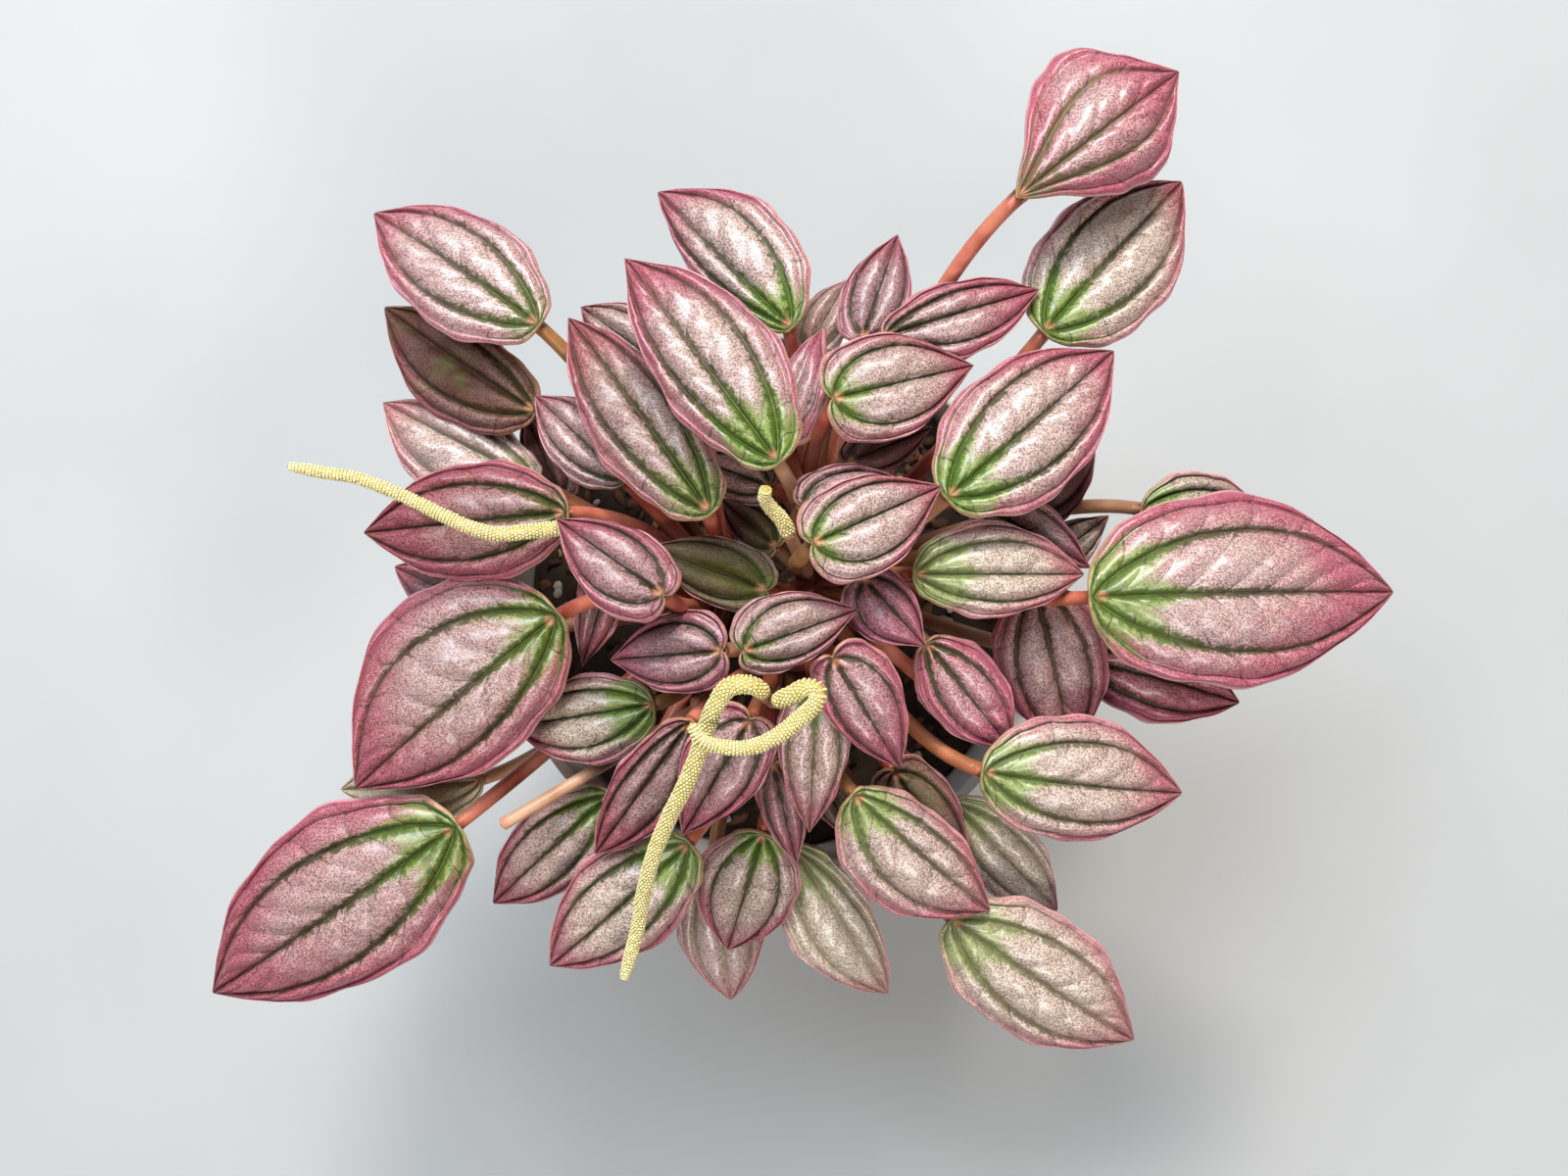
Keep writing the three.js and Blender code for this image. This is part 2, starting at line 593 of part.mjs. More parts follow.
function crownGeometry(name, blades) {
  const { at, top } = CROWNS[name];
  const foot = SOIL_LEVEL - STEM_DEPTH;
  const stem = new THREE.CylinderGeometry(0.75 * STEM_RADIUS, STEM_RADIUS, top - foot, 10)
    .rotateX(Math.PI / 2)
    .translate(at[0], at[1], (top + foot) / 2);
  const own = blades.filter((blade) => blade.crown === name);
  const stalks = [
    ...own.map(petioleGeometry),
    ...SPIKES.filter(([crown]) => crown === name).map(peduncleGeometry),
    ...OLD_STALKS.filter(([crown]) => crown === name).map(oldStalkGeometry),
  ];
  return fromManifold([stem, ...stalks].map(toManifold).reduce((whole, next) => whole.add(next)));
}

// ---- The plant in its pot ----

const plastic = new THREE.MeshStandardMaterial({ color: 0xe6e4df, roughness: 0.45, metalness: 0 });
const peat = new THREE.MeshStandardMaterial({ color: 0x2e211a, roughness: 1, metalness: 0 });
const stalk = new THREE.MeshStandardMaterial({ color: 0xb8603c, roughness: 0.5, metalness: 0 });
const foliage = new THREE.MeshStandardMaterial({ color: 0x9c5566, roughness: 0.4, metalness: 0 });
const flower = new THREE.MeshStandardMaterial({ color: 0xc9cb6a, roughness: 0.6, metalness: 0 });

const plant = new THREE.Group();
plant.add(pieceMesh("pot", potGeometry(), plastic));
plant.add(pieceMesh("soil", soilGeometry(), peat));

const blades = LEAVES.map(bladeSurface);
settle(blades);
blades.forEach((surface, i) => {
  const name = "leaf_" + String(i + 1).padStart(2, "0");
  plant.add(pieceMesh(name, bladeGeometry(surface), foliage));
});
SPIKES.forEach((row, i) => plant.add(pieceMesh(`spike_${i + 1}`, spikeGeometry(row), flower)));
for (const name of Object.keys(CROWNS)) {
  plant.add(pieceMesh("crown_" + name, crownGeometry(name, blades), stalk));
}

export default plant;
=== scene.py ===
import math

import bmesh
import bpy
import numpy as np
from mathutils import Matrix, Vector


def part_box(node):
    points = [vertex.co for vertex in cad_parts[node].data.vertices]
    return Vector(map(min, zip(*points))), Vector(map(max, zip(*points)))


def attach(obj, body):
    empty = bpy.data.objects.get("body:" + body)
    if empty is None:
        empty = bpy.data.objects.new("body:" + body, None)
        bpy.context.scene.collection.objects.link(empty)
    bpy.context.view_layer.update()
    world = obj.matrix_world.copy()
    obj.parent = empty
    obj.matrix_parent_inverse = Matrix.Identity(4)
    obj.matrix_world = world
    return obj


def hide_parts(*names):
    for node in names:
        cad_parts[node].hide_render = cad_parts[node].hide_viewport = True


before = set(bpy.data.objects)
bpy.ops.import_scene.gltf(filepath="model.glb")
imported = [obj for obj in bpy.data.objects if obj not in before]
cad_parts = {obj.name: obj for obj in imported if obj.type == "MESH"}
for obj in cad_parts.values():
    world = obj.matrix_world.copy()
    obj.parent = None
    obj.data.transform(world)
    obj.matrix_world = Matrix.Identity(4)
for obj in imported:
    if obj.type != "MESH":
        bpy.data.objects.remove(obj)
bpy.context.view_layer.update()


# ---- Pot ----
# A round tapered nursery pot of thin white polypropylene with a matt skin, injection moulded in one
# piece: a rolled rim band outside the mouth, a small bevel at the foot and six drain holes in the floor.

MM = 0.001
POT_HEIGHT = 85
MOUTH_RADIUS = 50
FOOT_RADIUS = 35
WALL = 1.2
RIM_BAND = 8
RIM_STEP = 1.1
RIM_WIDTH = 1.9
BEVEL = 0.4
DRAIN_HOLES = 6
DRAIN_RADIUS = 3.5
DRAIN_CIRCLE = 23


class Value:
    """An output of a shader node. Python's signs on it, and on numbers beside it, add Math nodes."""

    def __init__(self, finish, socket):
        self.finish = finish
        self.socket = socket

    def maths(self, operation, *inputs):
        return self.finish.node("ShaderNodeMath", {"operation": operation}, dict(enumerate(inputs)))

    def __add__(self, other):
        return self.maths("ADD", self, other)

    def __sub__(self, other):
        return self.maths("SUBTRACT", self, other)

    def __rsub__(self, other):
        return self.maths("SUBTRACT", other, self)

    def __mul__(self, other):
        return self.maths("MULTIPLY", self, other)

    def __truediv__(self, other):
        return self.maths("DIVIDE", self, other)

    def __pow__(self, other):
        return self.maths("POWER", self, other)

    def __abs__(self):
        return self.maths("ABSOLUTE", self)

    __radd__ = __add__
    __rmul__ = __mul__

    def sine(self):
        return self.maths("SINE", self)

    def at_most(self, other):
        return self.maths("MINIMUM", self, other)

    def at_least(self, other):
        return self.maths("MAXIMUM", self, other)

    def band(self, low, high):
        """0 where the value is low, 1 where it is high and a smooth step between; low may be the larger."""
        settings = {"interpolation_type": "SMOOTHSTEP"}
        values = {"Value": self, "From Min": low, "From Max": high}
        return self.finish.node("ShaderNodeMapRange", settings, values)


def tint(red, green, blue):
    """A screen colour as the linear numbers that a shader takes."""
    screen = np.array([red, green, blue])
    linear = np.where(screen > 0.04045, ((screen + 0.055) / 1.055) ** 2.4, screen / 12.92)
    return (*linear.tolist(), 1.0)


class Finish:
    """A material with one Principled surface. Its uniform values are set on the surface's own sockets."""

    def __init__(self, name, **uniform):
        self.material = bpy.data.materials.new(name)
        self.material.use_nodes = True
        self.tree = self.material.node_tree
        self.surface = self.tree.nodes["Principled BSDF"]
        for socket, value in uniform.items():
            self.surface.inputs[socket.replace("_", " ")].default_value = value

    def node(self, kind, settings=None, values=None, output=0):
        """Adds a node: its settings first, then its sockets by name or number, from numbers or Values."""
        node = self.tree.nodes.new(kind)
        for name, setting in (settings or {}).items():
            setattr(node, name, setting)
        for name, value in (values or {}).items():
            if isinstance(value, Value):
                self.tree.links.new(value.socket, node.inputs[name])
            else:
                node.inputs[name].default_value = value
        return Value(self, node.outputs[output])

    def place(self):
        """The Object coordinates, which are the piece's own place in metres."""
        return self.node("ShaderNodeTexCoord", output="Object")

    def attribute(self, name, part="Fac"):
        return self.node("ShaderNodeAttribute", {"attribute_name": name}, output=part)

    def parts(self, vector):
        """The three numbers of a vector."""
        return [self.node("ShaderNodeSeparateXYZ", {}, {0: vector}, output=k) for k in range(3)]

    def noise(self, size, detail=2.0, roughness=0.5, vector=None):
        """Smooth noise from 0 to 1 whose lumps are about size millimetres across."""
        values = {
            "Vector": vector or self.place(),
            "Scale": 1 / (size * MM),
            "Detail": detail,
            "Roughness": roughness,
        }
        return self.node("ShaderNodeTexNoise", {}, values)

    def mix(self, share, first, second, blend="MIX"):
        """The first colour where share is 0 and the second where it is 1."""
        settings = {"data_type": "RGBA", "blend_type": blend}
        return self.node("ShaderNodeMix", settings, {0: share, 6: first, 7: second}, output=2)

    def feed(self, socket, value):
        self.tree.links.new(value.socket, self.surface.inputs[socket])

    def bump(self, height, depth):
        """Relief: height runs from 0 to 1 and stands for depth millimetres."""
        values = {"Height": height, "Distance": depth * MM, "Strength": 1.0}
        self.feed("Normal", self.node("ShaderNodeBump", {}, values))


def add_piece(name, points, faces, material, attributes=None):
    """A smooth mesh from points in millimetres, as rows of x, y, z, and faces, as arrays with one row of
    point numbers for each face. attributes holds one number or three for each point."""
    mesh = bpy.data.meshes.new(name)
    corners = np.concatenate([f.ravel() for f in faces]).astype(np.int32)
    sizes = np.concatenate([np.full(len(f), f.shape[1]) for f in faces]).astype(np.int32)
    mesh.vertices.add(len(points))
    mesh.loops.add(len(corners))
    mesh.polygons.add(len(sizes))
    mesh.vertices.foreach_set("co", (points * MM).astype(np.float32).ravel())
    mesh.loops.foreach_set("vertex_index", corners)
    starts = np.concatenate([[0], np.cumsum(sizes)[:-1]]).astype(np.int32)
    mesh.polygons.foreach_set("loop_start", starts)
    mesh.polygons.foreach_set("use_smooth", np.ones(len(sizes), bool))
    mesh.update(calc_edges=True)
    for key, values in (attributes or {}).items():
        wide = np.ndim(values) > 1
        layer = mesh.attributes.new(key, "FLOAT_VECTOR" if wide else "FLOAT", "POINT")
        layer.data.foreach_set("vector" if wide else "value", np.ravel(values).astype(np.float32))
    mesh.materials.append(material)
    piece = bpy.data.objects.new(name, mesh)
    bpy.context.scene.collection.objects.link(piece)
    return piece


def grid_faces(index):
    """Quads between neighbours of a grid of point numbers, facing up where rows run right to left."""
    return np.stack([index[:-1, :-1], index[1:, :-1], index[1:, 1:], index[:-1, 1:]], -1).reshape(-1, 4)


def wall_radius(z):
    """The outer wall's radius, which grows evenly from the foot to the step under the rim band."""
    return FOOT_RADIUS + (MOUTH_RADIUS - RIM_STEP - FOOT_RADIUS) * z / POT_HEIGHT


def rounded(profile, radius, steps=5):
    """A profile of [r, z] points with each inner corner replaced by a quadratic curve from radius before
    the corner to radius after it, or less where the next corner is near."""
    profile = np.array(profile, float)
    before, corner, after = profile[:-2], profile[1:-1], profile[2:]
    back, ahead = before - corner, after - corner
    reach_back = np.minimum(radius, 0.45 * np.linalg.norm(back, axis=1, keepdims=True))
    reach_ahead = np.minimum(radius, 0.45 * np.linalg.norm(ahead, axis=1, keepdims=True))
    start = corner + back / np.linalg.norm(back, axis=1, keepdims=True) * reach_back
    stop = corner + ahead / np.linalg.norm(ahead, axis=1, keepdims=True) * reach_ahead
    t = np.linspace(0, 1, steps)[None, :, None]
    curve = (1 - t) ** 2 * start[:, None] + 2 * t * (1 - t) * corner[:, None] + t**2 * stop[:, None]
    return np.concatenate([profile[:1], curve.reshape(-1, 2), profile[-1:]])


def pot_walls(sectors):
    """The wall and rim: the rounded profile from the floor's underside over the rim down to the floor's
    upper side, turned about the pot's axis."""
    band = POT_HEIGHT - RIM_BAND
    profile = rounded(
        [
            [FLOOR_EDGE, 0],
            [FOOT_RADIUS, 0],
            [wall_radius(band), band],
            [MOUTH_RADIUS - BEVEL / 2, band],
            [MOUTH_RADIUS, POT_HEIGHT],
            [MOUTH_RADIUS - RIM_WIDTH, POT_HEIGHT],
            [wall_radius(band) - WALL, band - WALL],
            [wall_radius(WALL) - WALL, WALL],
            [FLOOR_EDGE, WALL],
        ],
        0.7,
    )
    turn = np.linspace(0, 2 * np.pi, sectors, endpoint=False)
    ring = np.stack([np.cos(turn), np.sin(turn)], -1)
    flat = profile[:, None, :1] * ring[None]
    height = np.broadcast_to(profile[:, 1][:, None, None], (*flat.shape[:2], 1))
    points = np.concatenate([flat, height], -1)
    index = np.arange(len(profile) * sectors).reshape(len(profile), sectors)
    index = np.concatenate([index, index[:, :1]], 1)
    return points.reshape(-1, 3), grid_faces(index)[:, ::-1]


def drain_sector(number, rings=5):
    """One sixth of the pot's floor with its drain hole. Rays from the hole's centre run from the hole's
    edge to the sector's outline, so that neighbours share the outline's points."""
    half = np.pi / DRAIN_HOLES
    arc = np.linspace(-half, half, FLOOR_ARC + 1)
    out = np.linspace(FLOOR_MIDDLE, FLOOR_EDGE, FLOOR_SIDE + 1)
    outline = np.concatenate(
        [
            np.stack([FLOOR_EDGE * np.cos(arc[:-1]), FLOOR_EDGE * np.sin(arc[:-1])], -1),
            np.stack([out[:0:-1] * np.cos(half), out[:0:-1] * np.sin(half)], -1),
            np.stack([FLOOR_MIDDLE * np.cos(arc[:0:-1]), FLOOR_MIDDLE * np.sin(arc[:0:-1])], -1),
            np.stack([out[:-1] * np.cos(half), -out[:-1] * np.sin(half)], -1),
        ]
    )
    away = outline - [DRAIN_CIRCLE, 0]
    edge = [DRAIN_CIRCLE, 0] + DRAIN_RADIUS * away / np.linalg.norm(away, axis=1, keepdims=True)
    share = np.linspace(0, 1, rings)[:, None, None]
    flat = (1 - share) * edge + share * outline
    turn = 2 * half * (number + 0.5)
    x = flat[..., 0] * np.cos(turn) - flat[..., 1] * np.sin(turn)
    y = flat[..., 0] * np.sin(turn) + flat[..., 1] * np.cos(turn)
    top = np.stack([x, y, np.full_like(x, WALL)], -1)
    under = np.stack([x, y, np.zeros_like(x)], -1)
    points = np.concatenate([under[::-1], top])
    count = points.shape[1]
    index = np.arange(2 * rings * count).reshape(2 * rings, count)
    index = np.concatenate([index, index[:, :1]], 1)
    return points.reshape(-1, 3), grid_faces(index)


FLOOR_EDGE = 31.5
FLOOR_MIDDLE = 14.0
FLOOR_ARC = 32
FLOOR_SIDE = 12


def pot_floor_middle(sectors):
    """The solid middle of the floor: a disc on each face, as rings of quads round a small centre fan."""
    turn = np.linspace(0, 2 * np.pi, sectors, endpoint=False)
    shares = np.linspace(1, 0.1, 5)
    x = FLOOR_MIDDLE * shares[:, None] * np.cos(turn)
    y = FLOOR_MIDDLE * shares[:, None] * np.sin(turn)
    points, quads, fans = [], [], []
    for side, height in enumerate((0, WALL)):
        base = side * (x.size + 1)
        index = base + np.arange(x.size).reshape(x.shape)
        index = np.concatenate([index, index[:, :1]], 1)
        centre = np.full(sectors, base + x.size)
        fan = np.stack([index[-1, :-1], index[-1, 1:], centre], -1)
        quad = grid_faces(index)
        points.append(np.append(np.stack([x, y, np.full_like(x, height)], -1).reshape(-1, 3), [[0, 0, height]], 0))
        quads.append(quad[:, ::-1] if side else quad)
        fans.append(fan if side else fan[:, ::-1])
    return np.concatenate(points), np.concatenate(quads), np.concatenate(fans)


def joined(parts):
    """Several (points, quads) meshes as one."""
    starts = np.cumsum([0] + [len(points) for points, _ in parts[:-1]])
    return np.concatenate([p for p, _ in parts]), np.concatenate([q + s for (_, q), s in zip(parts, starts)])


def weld(piece, distance=1e-6):
    """Merges the points that neighbouring parts of a piece share."""
    work = bmesh.new()
    work.from_mesh(piece.data)
    bmesh.ops.remove_doubles(work, verts=work.verts, dist=distance)
    bmesh.ops.recalc_face_normals(work, faces=work.faces)
    work.to_mesh(piece.data)
    work.free()


sectors = DRAIN_HOLES * FLOOR_ARC
shell, shell_quads = joined([pot_walls(sectors)] + [drain_sector(k) for k in range(DRAIN_HOLES)])
middle, middle_quads, middle_fans = pot_floor_middle(sectors)
start = len(shell)

plastic = Finish("white matt plastic", Roughness=0.42, IOR=1.5)
grain = plastic.noise(0.35, detail=3)
scuff = plastic.noise(14, detail=5, roughness=0.65)
dust = plastic.parts(plastic.place())[2].band(0.03, 0.0)
pale = plastic.mix(scuff, tint(0.90, 0.895, 0.87), tint(0.84, 0.835, 0.81))
plastic.feed("Base Color", plastic.mix(dust * scuff * 0.5, pale, tint(0.62, 0.58, 0.52)))
plastic.feed("Roughness", 0.36 + 0.18 * scuff)
plastic.bump(grain, 0.02)

pot = add_piece(
    "nursery_pot",
    np.concatenate([shell, middle]),
    [np.concatenate([shell_quads, middle_quads + start]), middle_fans + start],
    plastic.material,
)
weld(pot)
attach(pot, "root")
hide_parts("pot")


# ---- Soil ----
# Dark peat mix, filled loose to a little under the rim. Its surface is uneven and strewn with
# bark chips, straw-coloured fibres and grains of white perlite.

SOIL_LEVEL = 77
SOIL_LUMP = 1.3
SEAT_GAP = 0.3


def soil_height(x, y):
    """Long lumps, the product and sum of sines, on a level that falls with the square of the radius."""
    lumps = np.sin(0.31 * x + 1.1) * np.cos(0.27 * y) + 0.6 * np.sin(0.19 * y - 0.23 * x)
    return SOIL_LEVEL + SOIL_LUMP * lumps - 2 * (x * x + y * y) / MOUTH_RADIUS**2


def crumb_height(x, y):
    """Crumbs: four crossed sines of ever shorter wave, each bent by the one before."""
    bent = x + 0.8 * np.sin(1.7 * y)
    level = 0.45 * np.sin(1.9 * bent) * np.sin(1.6 * y + 0.7 * x)
    level += 0.3 * np.sin(3.7 * x - 1.3 * y + np.sin(2.1 * y)) * np.sin(3.1 * y + 0.9 * bent)
    return level + 0.14 * np.sin(6.1 * x + 2.0 * np.sin(2.9 * y)) * np.sin(5.7 * y + 1.1 * x)


def soil_body(sectors=200, rings=90):
    """The soil's upper face as rings round its centre, and its side down to the pot's floor."""
    inside = WALL + SEAT_GAP + 0.2
    rim = wall_radius(SOIL_LEVEL - 4) - inside
    floor = WALL + SEAT_GAP
    turn = np.linspace(0, 2 * np.pi, sectors, endpoint=False)
    radius = rim * np.linspace(0.01, 1, rings) ** 0.8
    x, y = radius[:, None] * np.cos(turn), radius[:, None] * np.sin(turn)
    top = np.stack([x, y, soil_height(x, y) + crumb_height(x, y)], -1)
    drop = np.array([[rim, SOIL_LEVEL - 6], [wall_radius(floor) - inside, floor], [1, floor]])
    side = np.stack(
        [
            drop[:, :1] * np.cos(turn),
            drop[:, :1] * np.sin(turn),
            np.broadcast_to(drop[:, 1:], (3, sectors)),
        ],
        -1,
    )
    points = np.concatenate([top, side]).reshape(-1, 3)
    ends = [[0, 0, soil_height(0, 0) + crumb_height(0, 0)], [0, 0, floor]]
    index = np.arange(len(points)).reshape(-1, sectors)
    index = np.concatenate([index, index[:, :1]], 1)
    near = np.stack([np.full(sectors, len(points)), index[0, :-1], index[0, 1:]], -1)
    far = np.stack([index[-1, 1:], index[-1, :-1], np.full(sectors, len(points) + 1)], -1)
    return np.concatenate([points, ends]), grid_faces(index), np.concatenate([near, far])


draw = np.random.default_rng(7)


def ball(rows, columns):
    """A unit ball's points and faces: rings between two poles."""
    down = np.linspace(0, np.pi, rows + 2)[1:-1, None]
    turn = np.linspace(0, 2 * np.pi, columns, endpoint=False)
    points = np.stack(
        [np.sin(down) * np.cos(turn), np.sin(down) * np.sin(turn), np.cos(down) + 0 * turn], -1
    ).reshape(-1, 3)
    points = np.concatenate([points, [[0, 0, 1], [0, 0, -1]]])
    index = np.arange(rows * columns).reshape(rows, columns)
    index = np.concatenate([index, index[:, :1]], 1)
    caps = [
        np.stack([np.full(columns, rows * columns), index[0, :-1], index[0, 1:]], -1),
        np.stack([index[-1, 1:], index[-1, :-1], np.full(columns, rows * columns + 1)], -1),
    ]
    return points, grid_faces(index), np.concatenate(caps)


def scattered(count, sizes, sink):
    """Irregular grains on the soil: a ball for each, its points pushed in and out, squashed to its own
    three sizes, turned at random and set in the soil to the share sink of its height."""
    unit, quads, caps = ball(3, 7)
    radius = 43 * np.sqrt(draw.random(count))
    turn = 2 * np.pi * draw.random(count)
    x, y = radius * np.cos(turn), radius * np.sin(turn)
    size = draw.uniform(*np.array(sizes, float).T, (count, 3))
    grain = unit * (1 + draw.uniform(-0.28, 0.28, (count, len(unit), 1))) * size[:, None]
    q = draw.normal(size=(count, 4)) * [1, 0.25, 0.25, 1]
    w, a, b, c = (q / np.linalg.norm(q, axis=1, keepdims=True)).T
    turned = np.array(
        [
            [1 - 2 * (b * b + c * c), 2 * (a * b - c * w), 2 * (a * c + b * w)],
            [2 * (a * b + c * w), 1 - 2 * (a * a + c * c), 2 * (b * c - a * w)],
            [2 * (a * c - b * w), 2 * (b * c + a * w), 1 - 2 * (a * a + b * b)],
        ]
    )
    grain = np.einsum("ijn,nkj->nki", turned, grain)
    centre = np.stack([x, y, soil_height(x, y) + sink * size[:, 2]], -1)
    shift = np.arange(count)[:, None, None] * len(unit)
    return (
        (grain + centre[:, None]).reshape(-1, 3),
        (quads + shift).reshape(-1, 4),
        (caps + shift).reshape(-1, 3),
        np.repeat(draw.random(count), len(unit)),
    )


peat = Finish("damp peat", Roughness=0.85)
fine = peat.noise(0.5, detail=5, roughness=0.7)
broad = peat.noise(5, detail=3)
dark = peat.mix(fine, tint(0.07, 0.05, 0.035), tint(0.22, 0.16, 0.12))
peat.feed("Base Color", peat.mix(broad.band(0.45, 0.7) * 0.6, dark, tint(0.28, 0.20, 0.14)))
peat.feed("Roughness", 0.75 + 0.2 * fine)
peat.bump(fine, 0.25)

bark = Finish("bark and fibre", Roughness=0.8)
own = bark.attribute("own")
streak = bark.noise(0.8, detail=4, roughness=0.7)
woody = bark.mix(own.band(0.1, 0.8), tint(0.17, 0.10, 0.07), tint(0.52, 0.35, 0.21))
woody = bark.mix(own.band(0.86, 0.9), woody, tint(0.78, 0.66, 0.46))
bark.feed("Base Color", bark.mix(streak, woody, tint(0.25, 0.16, 0.11)))
bark.feed("Roughness", 0.7 + 0.25 * streak)
bark.bump(streak, 0.2)

perlite = Finish("perlite", Roughness=0.9)
pores = perlite.noise(0.4, detail=4, roughness=0.7)
perlite.feed("Base Color", perlite.mix(pores, tint(0.70, 0.67, 0.60), tint(0.93, 0.91, 0.87)))
perlite.feed("Roughness", 0.8 + 0.15 * pores)
perlite.bump(pores, 0.2)

points, quads, fans = soil_body()
soil = add_piece("peat_mix", points, [quads, fans], peat.material)
chips = []
for count, sizes, sink, finish, name in (
    (520, [(0.8, 2.4), (0.5, 1.3), (0.25, 0.7)], 0.5, bark, "bark_chips"),
    (110, [(0.6, 1.3), (0.6, 1.2), (0.5, 1.0)], 0.6, perlite, "perlite_grains"),
):
    points, quads, caps, own_number = scattered(count, sizes, sink)
    chips.append(add_piece(name, points, [quads, caps], finish.material, {"own": own_number}))
for piece in (soil, *chips):
    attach(piece, "root")
    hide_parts("soil")


# ---- Blades ----
# Fleshy heart-shaped leaf blades, each grown on the end of its petiole, which joins it a little inside
# the back margin. Five veins run sunken from there to the tip, and the flesh swells between them. The
# skin is waxed and silvery rose, dark green along the veins and bright green near the petiole.

THICKNESS = 0.9
LEAF_GAP = 0.75
ARCH = 0.08
PELTATE = 0.05
FULLNESS = 1.3
MARGINS = {
    "old": [(0.12, 120), (0.37, 98), (0.94, 57), (0.8, 21.5)],
    "young": [(0.2, 155), (0.55, 115), (0.91, 55), (0.74, 13)],
    "cupped": [(0.18, 50), (0.74, 48), (0.95, 42), (0.82, 11)],
}
SIDE_VEINS = (0.55, 0.86)
# The solids' own grids, by which a blade's height above its table place is found again.
SOLID_GRIDS = [
    (20, [0, 0.13, 0.29, 0.46, 0.63, 0.81, 1], [0.27, 0.55, 0.7, 0.86, 0.93, 1], [0, 0.55, 0.86, 1]),
    (15.5, [0, 0.16, 0.36, 0.57, 0.78, 1], [0.27, 0.55, 0.7, 0.86, 0.93, 1], [0, 0.55, 0.86, 1]),
    (0, [0, 0.18, 0.4, 0.62, 0.82, 1], [0.27, 0.55, 0.78, 1], [0, 0.55, 1]),
]
